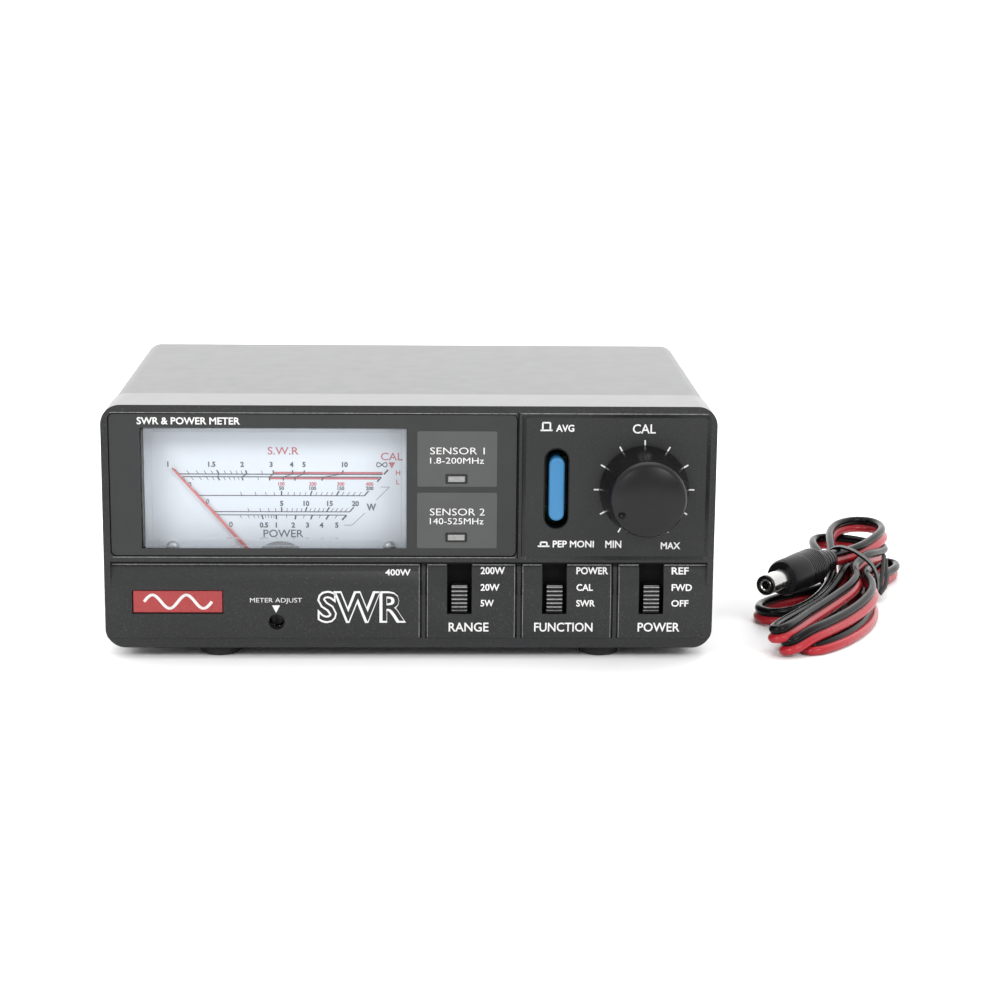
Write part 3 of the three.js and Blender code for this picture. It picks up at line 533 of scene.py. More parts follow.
def settle(run):
    """Pushes runs of the lead off each other, the desk and the plug, in long gentle shifts."""
    rounds = 140
    stiffness = 0.985  # share of each shift that stays, so the lead leans back to its laid route
    reach_along = 6  # points this near along the lead don't push each other
    in_plug = 8  # the first points, which lie inside the plug
    largest = 0.3  # the most that a point moves in one round, mm
    rest = run[:, :3].copy()
    upright = WIRE / RIBBON  # the ribbon stands on edge, so it is twice as tall as it is thick
    gap = WIRE * 1.03
    count = len(run)
    index = np.arange(count)
    apart = np.abs(index[:, None] - index[None, :]) > reach_along
    tip = np.array(hank_coordinates(*PLUG_TIP))
    line = np.array(hank_coordinates(*PLUG_TAIL)) - tip
    girth_at = ((0, 0.7, 1), (7.2, 7.2, 3.5))
    lowest = (RIBBON - WIRE) / 2 * np.cos(np.radians(run[:, 3])) + WIRE / 2 + 0.05
    spread = np.array((0.06, 0.12, 0.2, 0.24, 0.2, 0.12, 0.06))
    reach_out = len(spread) // 2
    for _ in range(rounds):
        place = run[:, :3] * (1, 1, upright)
        difference = place[:, None, :] - place[None, :, :]
        distance = np.linalg.norm(difference, axis=2)
        close = apart & (distance < gap)
        push = np.where(close, (gap - distance) / np.maximum(distance, 0.4), 0)[:, :, None]
        move = np.clip((push * difference).sum(axis=1) * 0.3, -largest, largest)
        share = np.clip(((run[:, :3] - tip) @ line) / (line @ line), 0, 1)
        away = run[:, :3] - (tip + share[:, None] * line)
        reach = np.linalg.norm(away, axis=1)
        girth = np.interp(share, *girth_at)
        inside = (reach < girth) & (index > in_plug)
        lift = np.where(inside, girth - reach, 0)[:, None]
        move += np.clip(away / np.maximum(reach, 0.1)[:, None] * lift, -largest, largest) / 2
        shift = np.pad(run[:, :3] + move - rest, ((reach_out, reach_out), (0, 0)), "edge")
        shift = np.column_stack([np.convolve(shift[:, k], spread, "valid") for k in range(3)])
        shift[:3] = 0
        run[:, :3] = rest + shift * stiffness
        run[:, 2] = np.maximum(run[:, 2], lowest)
    return run


def hank_coordinates(x, depth, z):
    """From x, depth and height to along the hank, across it and height."""
    dx, dy = x - TIE[0], depth - TIE[1]
    cos, sin = math.cos(HANK_AXIS), math.sin(HANK_AXIS)
    return dx * cos + dy * sin, dx * sin - dy * cos, z


def from_hank(u, v, z):
    """From along the hank, across it and height, in mm, to a point in metres."""
    cos, sin = math.cos(HANK_AXIS), math.sin(HANK_AXIS)
    return at(TIE[0] + u * cos + v * sin, TIE[1] + u * sin - v * cos, z)


def core_section(sides):
    """Two touching round cores joined by a web: points (across, up) with the core each is on."""
    radius = WIRE / 2
    centre = RIBBON / 2 - radius
    neck = math.radians(22)
    points = []
    for core, start in ((1, -math.pi / 2 + neck), (-1, math.pi / 2 + neck)):
        for i in range(sides + 1):
            angle = start + (2 * math.pi - 2 * neck) * i / sides
            points.append((radius * math.cos(angle), core * centre + radius * math.sin(angle), core))
    return points


def make_lead():
    """Sweeps the two-core section along the settled route, turned over by each point's tilt."""
    run = settle(smooth_route(ROUTE, 1.6))
    centres = [from_hank(u, v, z) for u, v, z, _ in run]
    section = core_section(14)
    bm = bmesh.new()
    rings = []
    for i, centre in enumerate(centres):
        tangent = (centres[min(i + 1, len(centres) - 1)] - centres[max(i - 1, 0)]).normalized()
        side = tangent.cross(UP).normalized()
        up = side.cross(tangent)
        tilt = math.radians(run[i][3])
        across = math.cos(tilt) * side + math.sin(tilt) * up
        along_width = math.cos(tilt) * up - math.sin(tilt) * side
        rings.append([
            bm.verts.new(centre + (a * across + w * along_width) * MM) for a, w, _ in section
        ])
    for low, high in zip(rings, rings[1:]):
        for k, face in enumerate(bridge(bm, low, high)):
            upper = section[k][1] + section[(k + 1) % len(section)][1] > 0
            face.material_index = 0 if upper else 1
    bm.faces.new(rings[0])
    bm.faces.new(rings[-1][::-1])
    lead = new_piece(
        "dc_lead", bm, "housing", [black_vinyl, red_vinyl], "lead_vinyl", crease=80,
        replaces=("lead_hank",),
    )
    return lead, [tuple(centre) for centre in centres]


lead, lead_path = make_lead()


def shell_profile(length):
    """The plug's shell: collar, plain barrel, nine grip ribs and a stepped cable relief."""
    profile = [(2.8, 12), (2.8, 9.6), (4.3, 9.5), (4.62, 9.7), (4.72, 10.1), (4.98, 10.6)]
    profile += [(5.0, 17.4), (5.05, 17.6)]
    ribs, rib_start, rib_pitch = 9, 18.4, 0.95
    for i in range(ribs):
        along = rib_start + i * rib_pitch
        profile += [(5.1, along), (5.1, along + 0.55), (4.82, along + 0.65), (4.82, along + 0.9)]
    end = rib_start + ribs * rib_pitch
    profile += [(5.0, end), (4.9, end + 0.5), (4.4, end + 0.9)]
    relief = end + 1.2
    steps = 5
    relief_length = length - relief - 0.4
    pitch = relief_length / steps
    for i in range(steps):
        share = i / steps
        radius = 3.9 - 1.2 * share
        along = relief + share * relief_length
        profile += [
            (radius, along), (radius - 0.1, along + 0.62 * pitch),
            (radius - 0.65, along + 0.72 * pitch), (radius - 0.65, along + 0.95 * pitch),
        ]
    return profile + [(2.5, length - 0.2), (2.3, length), (0, length)]


def make_plug():
    """The DC plug: bright sleeve, tip ring, centre contact, and a shell with a ribbed relief."""
    tip, tail = at(*PLUG_TIP), at(*PLUG_TAIL)
    axis = (tail - tip).normalized()
    length = (tail - tip).length / MM
    sleeve = turned("plug_sleeve", [
        (2.75, 12), (2.75, 0.9), (2.72, 0.75), (2.5, 0.7), (2.5, 1.2), (2.5, 12), (2.75, 12),
    ], 48, tip, axis, nickel, "nickel", replaces=("plug_barrel",))
    ring = turned("plug_tip_ring", [
        (2.45, 12), (2.45, 0.7), (2.62, 0.65), (2.7, 0.5), (2.7, 0.2), (2.55, 0.0), (1.95, 0.0),
        (1.85, 0.15), (1.85, 12), (2.45, 12),
    ], 48, tip, axis, gloss_black, "black_plastic")
    contact = turned("plug_contact", [
        (1.8, 12), (1.8, 0.15), (1.7, 0.02), (1.35, 0.05), (1.15, 0.3), (1.12, 8.5), (0, 8.6),
    ], 40, tip, axis, nickel, "nickel")
    body = turned(
        "plug_shell", shell_profile(length), 56, tip, axis, plug_black, "black_plastic",
        replaces=("plug_body",),
    )
    return [sleeve, ring, contact, body]


def tie_band():
    """The flat black twist tie round the bundle."""
    bm = bmesh.new()
    band = [
        (-7.0, 10.4), (-5.6, 13.2), (-3.2, 14.6), (0.4, 14.2), (3.8, 12.8), (6.8, 10.8), (8.6, 8.2),
        (9.3, 5.2), (9.0, 2.2), (7.4, 0.5), (3, 0.35), (-2, 0.35), (-5.0, 0.6), (-6.0, 3), (-6.8, 7),
    ]
    dense = []
    count = len(band)
    for i in range(count):
        nearby = [np.array(band[(i + k - 1) % count], float) for k in range(4)]
        dense += spline(*nearby, 6)
    half, thick = 1.1, 0.6
    rings = []
    total = len(dense)
    for i, (v, z) in enumerate(dense):
        before, after = dense[(i - 1) % total], dense[(i + 1) % total]
        tangent = after - before
        tangent /= np.linalg.norm(tangent)
        normal = np.array((-tangent[1], tangent[0]))
        corners = []
        lean = 0.34 * (z - 6) - 1.2
        for du, dn in (
            (-half, 0), (-half * 0.55, thick * 0.3), (-0.3, thick * 0.35), (0, thick),
            (0.3, thick * 0.35), (half * 0.55, thick * 0.3), (half, 0), (half, -thick * 0.5),
            (-half, -thick * 0.5),
        ):
            corners.append(bm.verts.new(from_hank(
                du + lean, v - normal[0] * dn, z - normal[1] * dn,
            )))
        rings.append(corners)
    skin(bm, rings, closed=True)
    return new_piece(
        "wire_tie", bm, "housing", plug_black, "black_plastic", crease=50,
        replaces=("lead_tie",),
    )


def tie_tails():
    """The tie's two ends, which stand off to the right."""
    bm = bmesh.new()
    tail_half = 0.62
    facing = Vector((-0.2, 0.95, -0.25))
    for tail in (
        [(1.6, 9.2, 3.0), (4.8, 9.0, 4.7), (8.2, 8.6, 6.6), (11.8, 8.0, 8.5), (15.2, 7.4, 10.3)],
        [(1.2, 9.6, 2.4), (4.6, 10.2, 3.6), (8.4, 9.9, 5.2), (12.4, 8.7, 7.3), (15.8, 7.8, 9.0)],
    ):
        middles = [from_hank(*point) for point in tail]
        rings = []
        for i, middle in enumerate(middles):
            along = middles[min(i + 1, len(tail) - 1)] - middles[max(i - 1, 0)]
            flat = along.cross(facing).normalized()
            out = along.cross(flat).normalized()
            rings.append([
                bm.verts.new(middle + (across * flat + lift * out) * MM)
                for across, lift in (
                    (-tail_half, -0.25), (tail_half, -0.25), (tail_half, 0.1), (0.25, 0.15),
                    (0, 0.4), (-0.25, 0.15), (-tail_half, 0.1),
                )
            ])
        skin(bm, rings)
    return new_piece("wire_tie_tail", bm, "housing", plug_black, "black_plastic", crease=50)


lead_fittings = make_plug() + [tie_band(), tie_tails()]

# ---- lettering and printed marks ----

INK = 0.03  # how far a print stands off its surface


def type_mesh(text, weight):
    """Points and faces of a line of text; weight fattens or thins its strokes."""
    curve = bpy.data.curves.new("type", "FONT")
    curve.body = text
    curve.size = 1
    curve.offset = weight
    curve.resolution_u = 3
    curve.extrude = 0.5
    holder = bpy.data.objects.new("type", curve)
    mesh = bpy.data.meshes.new_from_object(holder)
    points = np.array([v.co for v in mesh.vertices])
    faces = [tuple(p.vertices) for p in mesh.polygons]
    bpy.data.objects.remove(holder)
    bpy.data.curves.remove(curve)
    bpy.data.meshes.remove(mesh)
    return points, faces


def lay_type(bm, points, faces, x0, x1, z0, z1, depth_at):
    """Fits a text's mesh to a box on a surface, standing off it by the ink's thickness."""
    low, high = points.min(axis=0), points.max(axis=0)
    size = np.maximum(high - low, 1e-6)
    share = (points - low) / size
    verts = []
    for sx, sz, lift in share:
        x, z = x0 + (x1 - x0) * sx, z0 + (z1 - z0) * sz
        verts.append(bm.verts.new(at(x, depth_at(x, z) - INK * lift, z)))
    for face in faces:
        bm.faces.new([verts[i] for i in face])


def lettering(bm, text, x0, x1, z0, z1, depth_at, weight):
    """Text fitted to a box."""
    points, faces = type_mesh(text, weight)
    lay_type(bm, points, faces, x0, x1, z0, z1, depth_at)


def centred(bm, text, x, z, cap, depth_at, weight):
    """Text of a given capital height, centred on x and z."""
    points, faces = type_mesh(text, weight)
    size = points.max(axis=0) - points.min(axis=0)
    half = cap * size[0] / size[1] / 2
    lay_type(bm, points, faces, x - half, x + half, z - cap / 2, z + cap / 2, depth_at)


def stroke(bm, start, end, width, depth_at):
    """A printed line between two points (x, z)."""
    a, b = np.array(start, float), np.array(end, float)
    along = (b - a) / max(np.linalg.norm(b - a), 1e-9)
    side = np.array((-along[1], along[0])) * width / 2
    corners = [a - side, b - side, b + side, a + side]
    fronts = [bm.verts.new(at(x, depth_at(x, z) - INK, z)) for x, z in corners]
    backs = [bm.verts.new(at(x, depth_at(x, z), z)) for x, z in corners]
    bm.faces.new(fronts)
    bm.faces.new(backs[::-1])
    bridge(bm, backs, fronts)


def trace(bm, points, width, depth_at):
    """A printed line through a row of points."""
    for start, end in zip(points, points[1:]):
        stroke(bm, start, end, width, depth_at)


# ---- front panel ----

FOLD, ROW_TOP, SET_BACK = 18.3, 25.2, 1.9  # the lower row tilts back above the fold
PANEL_RECESS = 0.7
FACIA_FACE = 0.3
DIAL_DEPTH = 10.0

# The printed surfaces: each function gives the depth to lay print at, for a point x, z.


def on_row(x, z):
    rise = max(0.0, min(1.0, (z - FOLD) / (ROW_TOP - FOLD)))
    return SET_BACK * rise ** 1.5 - 0.01


def on_controls(x, z):
    return PANEL_RECESS - 0.01


def on_facia(x, z):
    return FACIA_FACE - 0.01


def on_patch(x, z):
    return FACIA_FACE - 0.06


# Where the controls stand, by the x and z of their middles.

KNOB = (59.3, 44.5)
BUTTON = (37.05, 44.7)
SLIDER_X = {"range": 12.6, "function": 36.9, "power": 61.7}
GROOVE_X = (3.45, 27.8, 52.4)  # the dividing grooves of the lower row
LED_X = 11.7
LED_Z = {1: 47.25, 2: 32.1}


def front_lettering():
    """The white legends, symbols and marks of the front panel."""
    bm = bmesh.new()
    for legend in (
        ("SWR & POWER METER", -68.4, -42.65, 61.0, 62.85, on_facia, 0.02),
        ("SENSOR 1", 5.0, 18.75, 53.6, 55.35, on_patch, -0.006),
        ("1.8-200MHz", 5.0, 18.6, 51.2, 52.75, on_patch, -0.002),
        ("SENSOR 2", 5.0, 18.9, 37.8, 39.6, on_patch, -0.006),
        ("140-525MHz", 5.0, 18.6, 35.5, 37.1, on_patch, -0.002),
        ("AVG", 36.7, 41.3, 59.4, 61.2, on_controls, 0.02),
        ("PEP MONI", 36.3, 46.8, 29.4, 31.2, on_controls, 0.02),
        ("CAL", 56.1, 61.9, 59.0, 61.4, on_controls, 0.01),
        ("MIN", 49.7, 53.8, 29.3, 31.2, on_controls, 0.02),
        ("MAX", 63.9, 68.9, 29.0, 30.8, on_controls, 0.02),
    ):
        lettering(bm, *legend)
    symbol_line = 0.38
    for x0, x1, x2, x3, low, high in (
        (32.8, 33.35, 35.25, 35.8, 59.75, 61.7), (32.5, 33.2, 34.8, 35.45, 29.7, 30.75),
    ):
        bump = [(x0, low), (x1, low), (x1, high), (x2, high), (x2, low), (x3, low)]
        trace(bm, bump, symbol_line, on_controls)
        stroke(bm, (x1, low), (x2, low), symbol_line, on_controls)
    tick_in, tick_out = 11.5, 12.8
    for hour in range(7, 18):
        angle = math.radians(30 * hour)
        direction = np.array((math.sin(angle), math.cos(angle)))
        stroke(bm, KNOB + tick_in * direction, KNOB + tick_out * direction, 0.36, on_controls)
    lettering(bm, "400W", -6.3, 0.14, 21.95, 23.5, on_row, 0.02)
    lettering(bm, "METER ADJUST", -40.7, -27.5, 14.65, 16.2, on_row, -0.008)
    prism(bm, [(-35.1, 14.25), (-34.1, 12.3), (-33.1, 14.25)], -0.04, -0.01)
    for text, x0, x1 in (("RANGE", 9.9, 20.1), ("FUNCTION", 31.8, 46.8), ("POWER", 58.4, 69.2)):
        lettering(bm, text, x0, x1, 7.35, 9.75, on_row, 0.012)
    rows = (22.3, 18.15, 14.0)
    cap = 1.75
    labels = {
        18.0: (("200W", 6.2), ("20W", 4.8), ("5W", 3.4)),
        42.5: (("POWER", 8.1), ("CAL", 4.2), ("SWR", 4.8)),
        66.9: (("REF", 4.4), ("FWD", 5.2), ("OFF", 4.4)),
    }
    for left, texts in labels.items():
        for (text, width), bottom in zip(texts, rows):
            lettering(bm, text, left, left + width, bottom, bottom + cap, on_row, 0.02)
    new_piece("panel_lettering", bm, "housing", white_print, "charcoal_plastic")


def outline_word():
    """A generic outlined word where a name would be."""
    bm = bmesh.new()
    lettering(bm, "SWR", -23.6, -1.0, 9.6, 18.1, lambda x, z: -0.01, 0.045)
    new_piece("panel_word_edge", bm, "housing", white_print, "charcoal_plastic")
    bm = bmesh.new()
    lettering(bm, "SWR", -23.1, -1.5, 10.1, 17.6, lambda x, z: -0.045, 0.0)
    new_piece("panel_word_fill", bm, "housing", charcoal, "charcoal_plastic")


def sensor_patches():
    """The two grey printed fields behind the sensor legends."""
    bm = bmesh.new()
    prism(bm, rounded(1.8, 21.9, 45.25, 59.5, 0.4, 3), FACIA_FACE - 0.05, FACIA_FACE + 0.05)
    prism(bm, rounded(1.75, 22.0, 29.25, 43.7, 0.4, 3), FACIA_FACE - 0.05, FACIA_FACE + 0.05)
    new_piece("sensor_patches", bm, "housing", patch_print, "facia_film")


def badge():
    """The red badge with two periods of a plain sine wave on it."""
    refined("badge_plate", "housing", badge_red, "red_badge", 0.15)
    bm = bmesh.new()
    left, length, middle, swing = -67.6, 17.2, 15.1, 1.75
    steps = 60
    wave = [
        (left + length * i / steps, middle + swing * math.sin(4 * math.pi * i / steps))
        for i in range(steps + 1)
    ]
    trace(bm, wave, 0.75, lambda x, z: 0.39)
    new_piece("badge_wave", bm, "housing", badge_white, "red_badge")


def leds():
    """Each indicator: a black holder, a grey lens and the small facets moulded in its face."""
    for number, z in LED_Z.items():
        bm = bmesh.new()
        prism(bm, rounded(LED_X - 2.75, LED_X + 2.75, z - 1.2, z + 1.2, 0.25, 3), 0.05, 0.22)
        prism(bm, rectangle(LED_X - 2.4, LED_X + 2.4, z - 0.95, z + 0.95), 0.25, 6.8)
        frame_piece = new_piece(
            f"led_{number}_holder", bm, "housing", black_plastic, "grey_plastic",
            replaces=(f"sensor_{number}_led",),
        )
        bevel(frame_piece, 0.08, 2)
        bm = bmesh.new()
        half, rise = 2.05, 0.66
        columns, rows = 13, 4
        for row in range(rows):
            for column in range(columns):
                x = LED_X - half + 2 * half * (column + 0.5) / columns + (row % 2) * 0.12 - 0.06
                height = z - rise + 2 * rise * (row + 0.5) / rows
                prism(bm, rectangle(x - 0.115, x + 0.115, height - 0.12, height + 0.12), -0.02, 0.12)
        new_piece(f"led_{number}_facets", bm, "housing", led_lens, "grey_plastic")
        bm = bmesh.new()
        prism(bm, rounded(
            LED_X - half - 0.1, LED_X + half + 0.1, z - rise - 0.1, z + rise + 0.1, 0.15, 3,
        ), 0.02, 0.2)
        new_piece(f"led_{number}_lens", bm, "housing", led_glow, "grey_plastic")


def seams():
    """Painted shadow strips in the seams and under the row's overhang, and painted highlights, with
    some wear, on the edges where the panel's steps catch the light.
    """
    bm = bmesh.new()
    # Painted shadow: black strips under the overhang above the row, in the gaps beside the right panel
    # and along the row's grooves
    prism(bm, rectangle(-75.9, 75.9, 25.2, 25.62), -0.03, -0.005)
    prism(bm, rectangle(27.08, 27.46, 26.7, 64.2), -0.03, -0.005)
    prism(bm, rectangle(28.24, 28.4, 27.2, 63.5), -0.03, -0.005)
    heights = np.linspace(17, 25.1, 12)
    for x in GROOVE_X:
        for offset in (-0.7, 0.7):
            trace(bm, [(x + offset, z) for z in heights], 0.42, on_row)
    new_piece("painted_shadow_seams", bm, "housing", painted_shade_black, "charcoal_plastic")
    # Painted highlights, with some wear: the row's top edges, the facia pocket's edges and the edges
    # beside the grooves
    bm = bmesh.new()
    depth = on_row(0, 24.57)
    spans = [
        (-75.7, 2.4), (4.5, 9.3), (15.9, 26.8), (28.9, 33.6), (40.2, 51.4), (53.5, 58.4), (65, 75.7),
    ]
    for x0, x1 in spans:
        prism(bm, rectangle(x0, x1, 24.42, 24.72), depth - 0.05, depth)
    for x0, x1, z in ((-75.2, 26.6, 63.98), (27.9, 75.0, 64.05), (-75.2, 26.6, 26.78)):
        prism(bm, rectangle(x0, x1, z, z + 0.16), -0.03, -0.005)
    for x in GROOVE_X:
        for offset in (-1.12, 1.0):
            trace(bm, [(x + offset, z) for z in np.linspace(5.8, 24.8, 14)], 0.13, on_row)
    new_piece("painted_highlight_wear_edges", bm, "housing", painted_highlight_wear_grey, "charcoal_plastic")


seams()
# The bezel's upward faces above 60 mm take the lighter charcoal copy, a painted sheen
UPWARD, TOP_HEIGHT = 0.6, 0.06  # faces that look up, above 60 mm, are the frame's top
bezel = refined("front_bezel", "housing", [charcoal, charcoal_painted_sheen], "charcoal_plastic", 0.3, 3)
for face in bezel.data.polygons:
    if face.normal.z > UPWARD and face.center.z > TOP_HEIGHT:
        face.material_index = 1
refined("facia_sheet", "housing", facia_film, "facia_film", 0.12, 2)
sensor_patches()
front_lettering()
outline_word()
badge()
leds()

# ---- panel meter ----

PIVOT = np.array((-33.0, 17.0))
SWING = math.radians(41.8)  # each way from upright
SWR_H, SWR_L, WATT_200, WATT_20, WATT_5 = 46.3, 45.6, 40.7, 36.45, 35.6  # scale lines, z


def on_dial(x, z):
    return DIAL_DEPTH - 0.01


def dial_x(fraction, z):
    """Where the needle crosses height z when it has swung that share of its travel."""
    return PIVOT[0] + (z - PIVOT[1]) * math.tan(SWING * (2 * fraction - 1))


def dial_tick(bm, fraction, z, height, width):
    tilt = math.tan(SWING * (2 * fraction - 1))
    x = dial_x(fraction, z)
    stroke(bm, (x, z), (x + tilt * height, z + height), width, on_dial)


# How far the needle has swung at each marked SWR, on the high and the low power scale.
RATIOS = (1, 1.5, 2, 3, 4, 5, 10)
HIGH_SWING = (0, 0.159, 0.300, 0.453, 0.565, 0.632, 0.830)
LOW_SWING = (0, 0.145, 0.267, 0.426, 0.512, 0.585, 0.745)


def swr_share(ratio, swings):
    reflected = [(r - 1) / (r + 1) for r in RATIOS]
    return float(np.interp((ratio - 1) / (ratio + 1), reflected, swings))


def swr_scale(ink, red):
    """The double SWR scale: marks above and below, the red band past 3, and its figures."""
    line = 0.28
    ends = dial_x(0, SWR_H), dial_x(1, SWR_H) - 0.3
    low_ends = dial_x(0, SWR_L) + 0.4, dial_x(1, SWR_L) - 0.2
    stroke(ink, (ends[0], SWR_H), (ends[1], SWR_H), line, on_dial)
    stroke(ink, (low_ends[0], SWR_L), (low_ends[1], SWR_L), line, on_dial)
    for z, height, sign in ((SWR_H, 1.25, 1), (SWR_L, 1.2, -1)):
        for fraction in (0, 1):
            dial_tick(ink, fraction, z, sign * height, 0.4)
    for ratio in (1.1, 1.2, 1.3, 1.4, 1.6, 1.7, 1.8, 1.9, 2.5):
        dial_tick(ink, swr_share(ratio, HIGH_SWING), SWR_H, 0.95, 0.16)
        dial_tick(ink, swr_share(ratio, LOW_SWING), SWR_L, -0.9, 0.16)
    for ratio in (1.5, 2, 3, 4, 5, 10):
        high, low = swr_share(ratio, HIGH_SWING), swr_share(ratio, LOW_SWING)
        dial_tick(ink, high, SWR_H, 1.05, 0.36)
        dial_tick(ink, low, SWR_L, -0.95, 0.36)
        stroke(ink, (dial_x(high, SWR_H), SWR_H), (dial_x(low, SWR_L), SWR_L), 0.2, on_dial)
    band = 0.5
    start = dial_x(swr_share(3, HIGH_SWING), SWR_H)
    stroke(red, (start + 0.2, SWR_H + 0.4), (ends[1], SWR_H + 0.4), band, on_dial)
    start = dial_x(swr_share(3, LOW_SWING), SWR_L)
    stroke(red, (start + 0.2, SWR_L - 0.4), (low_ends[1] - 0.5, SWR_L - 0.4), band, on_dial)
    figures_z = 48.85
    for ratio in RATIOS:
        x = dial_x(swr_share(ratio, HIGH_SWING), figures_z)
        centred(ink, str(ratio), x - 0.4, figures_z, 1.4, on_dial, 0.04)
    infinity = [
        (-7.3 + 1.32 * math.cos(t), figures_z + 1.15 * math.sin(t) * math.cos(t))
        for t in (2 * math.pi * i / 32 for i in range(33))
    ]
    trace(ink, infinity, 0.26, on_dial)


def power_figures(ink, red):
    """The figures of the three power scales; the doubled ones, for 400 W, are red."""
    for value in (50, 100, 150, 200):
        x = dial_x(math.sqrt(value / 200), 42.7) - (0.4 if value == 200 else 0)
        centred(ink, str(value), x, 42.66, 1.02, on_dial, 0.04)
        centred(red, str(2 * value), x, 43.78, 1.0, on_dial, 0.04)
    for value in (5, 10, 15, 20):
        x = dial_x(math.sqrt(value / 20), 38.6) - (0.4 if value > 5 else 0)
        centred(ink, str(value), x, 38.65, 1.4, on_dial, 0.04)
    centred(ink, "0", -56.4, 43.6, 1.25, on_dial, 0.02)
    centred(ink, "0", -51.9, 39.15, 1.25, on_dial, 0.02)
    for value in (0.5, 1, 2, 3, 4, 5):
        x = dial_x(math.sqrt(value / 5), 33.0) - 0.2
        centred(ink, str(value), x, 32.95, 1.42, on_dial, 0.04)
    centred(ink, "0", -46.05, 33.1, 1.42, on_dial, 0.02)


def dial_scales():
    """All the dial's print, in black, red and grey."""
    ink, red = bmesh.new(), bmesh.new()
    swr_scale(ink, red)
    watt_scale(ink, WATT_200, 200, 10, 50)
    watt_scale(ink, WATT_20, 20, 1, 5)
    five_watt_scale(ink)
    power_figures(ink, red)
    new_piece("dial_black_print", ink, "housing", dial_ink, "dial_card")
    lettering(red, "S.W.R", -36.45, -28.5, 51.4, 53.4, on_dial, 0.012)
    lettering(red, "CAL", -7.55, -1.95, 50.0, 52.0, on_dial, 0.008)
    prism(red, [(-5.65, 49.5), (-4.75, 47.85), (-3.85, 49.5)], DIAL_DEPTH - 0.04, DIAL_DEPTH - 0.01)
    centred(red, "H", -3.15, 46.75, 1.3, on_dial, 0.015)
    centred(red, "L", -3.2, 44.35, 1.3, on_dial, 0.015)
    new_piece("dial_red_print", red, "housing", dial_red, "dial_card")
    grey = bmesh.new()
    lettering(grey, "POWER", -37.75, -27.5, 29.7, 31.75, on_dial, 0.012)
    lettering(grey, "W", -11.25, -8.75, 36.75, 38.65, on_dial, 0.045)
    trace(grey, [(-7.6, 43.0), (-5.35, 43.0), (-8.8, 39.55)], 0.13, on_dial)
    trace(grey, [(-11.6, 36.2), (-15.0, 32.95), (-16.95, 32.95)], 0.13, on_dial)
    new_piece("dial_grey_print", grey, "housing", dial_grey, "dial_card")


def watt_scale(bm, z, top, small, large):
    """A power scale: the needle's swing follows the square root of the power."""
    stroke(bm, (dial_x(0, z), z), (dial_x(1, z), z), 0.24, on_dial)
    dial_tick(bm, 0, z, 1.25, 0.42)
    dial_tick(bm, 1, z, 1.25, 0.34)
    for value in range(small, top, small):
        height, width = (1.25, 0.36) if value % large == 0 else (0.95, 0.16)
        dial_tick(bm, math.sqrt(value / top), z, height, width)


def five_watt_scale(bm):
    """The lowest power scale, whose marks hang below its line."""
    z = WATT_5
    stroke(bm, (dial_x(0, z), z), (dial_x(1, z), z), 0.24, on_dial)
    dial_tick(bm, 0, z, -1.3, 0.42)
    dial_tick(bm, 1, z, -1.3, 0.42)
    for value in (0.1, 0.2, 0.3, 0.4, 0.6, 0.7, 0.8, 0.9, 1.5, 2.5, 3.5, 4.5):
        dial_tick(bm, math.sqrt(value / 5), z, -0.85, 0.15)
    for value in (0.5, 1, 2, 3, 4):
        dial_tick(bm, math.sqrt(value / 5), z, -1.15, 0.38)


def dial_screws():
    """The two round-headed screws at the dial's lower corners."""
    profile = [
        (0, -0.98), (0.55, -0.93), (1.05, -0.75), (1.4, -0.45), (1.58, -0.12), (1.6, 0.25),
        (0.85, 0.3), (0.85, 3), (0, 3),
    ]
    for side, x in (("left", -61.0), ("right", -5.4)):
        turned(
            f"dial_screw_{side}_head", profile, 40, at(x, DIAL_DEPTH - 0.3, 27.2), BACKWARD,
            pale_metal, "nickel", replaces=(f"dial_screw_{side}",),
        )


def pivot_dome():
    """The low grey dome over the needle's pivot."""
    profile = [
        (0, 0), (2.4, 0.02), (4.8, 0.1), (6.2, 0.28), (7.0, 0.55), (7.5, 0.9), (7.84, 1.25),
        (7.84, 1.4), (0, 1.4),
    ]
    turned(
        "pivot_dome", profile, 72, at(PIVOT[0] - 0.3, 7.0, 21.2), BACKWARD, grey_plastic,
        "grey_plastic", replaces=("pivot_cover",),
    )


def needle():
    """The pointer: a thin red blade with a raised spine, a hub and its balance arms."""
    bm = bmesh.new()
    turn = Matrix.Rotation(-SWING, 3, BACKWARD)
    pivot = at(PIVOT[0], 9.1, PIVOT[1])

    def put(x, depth, z):
        return bm.verts.new(pivot + turn @ Vector((x * MM, depth * MM, z * MM)))

    rings = []
    for z, half in ((-4.9, 0.5), (0, 0.5), (20, 0.36), (38, 0.26), (41.2, 0.24), (41.68, 0.14)):
        rings.append([
            put(-half, 0.13, z), put(half, 0.13, z), put(half, -0.04, z),
            put(0, -0.14, z), put(-half, -0.04, z),
        ])
    skin(bm, rings)
    turn_profile(bm, [(0, -0.15), (1.9, -0.14), (2.2, -0.05), (2.2, 0.15), (0, 0.15)], 40, pivot,
                 BACKWARD)
    new_piece("pointer_blade", bm, "pointer_movement", needle_red, "red_pointer",
              replaces=("needle",))


def paint(node, material):
    """Gives a CAD node that stays as it is another finish."""
    for slot in NODES[node].material_slots:
        slot.material = material


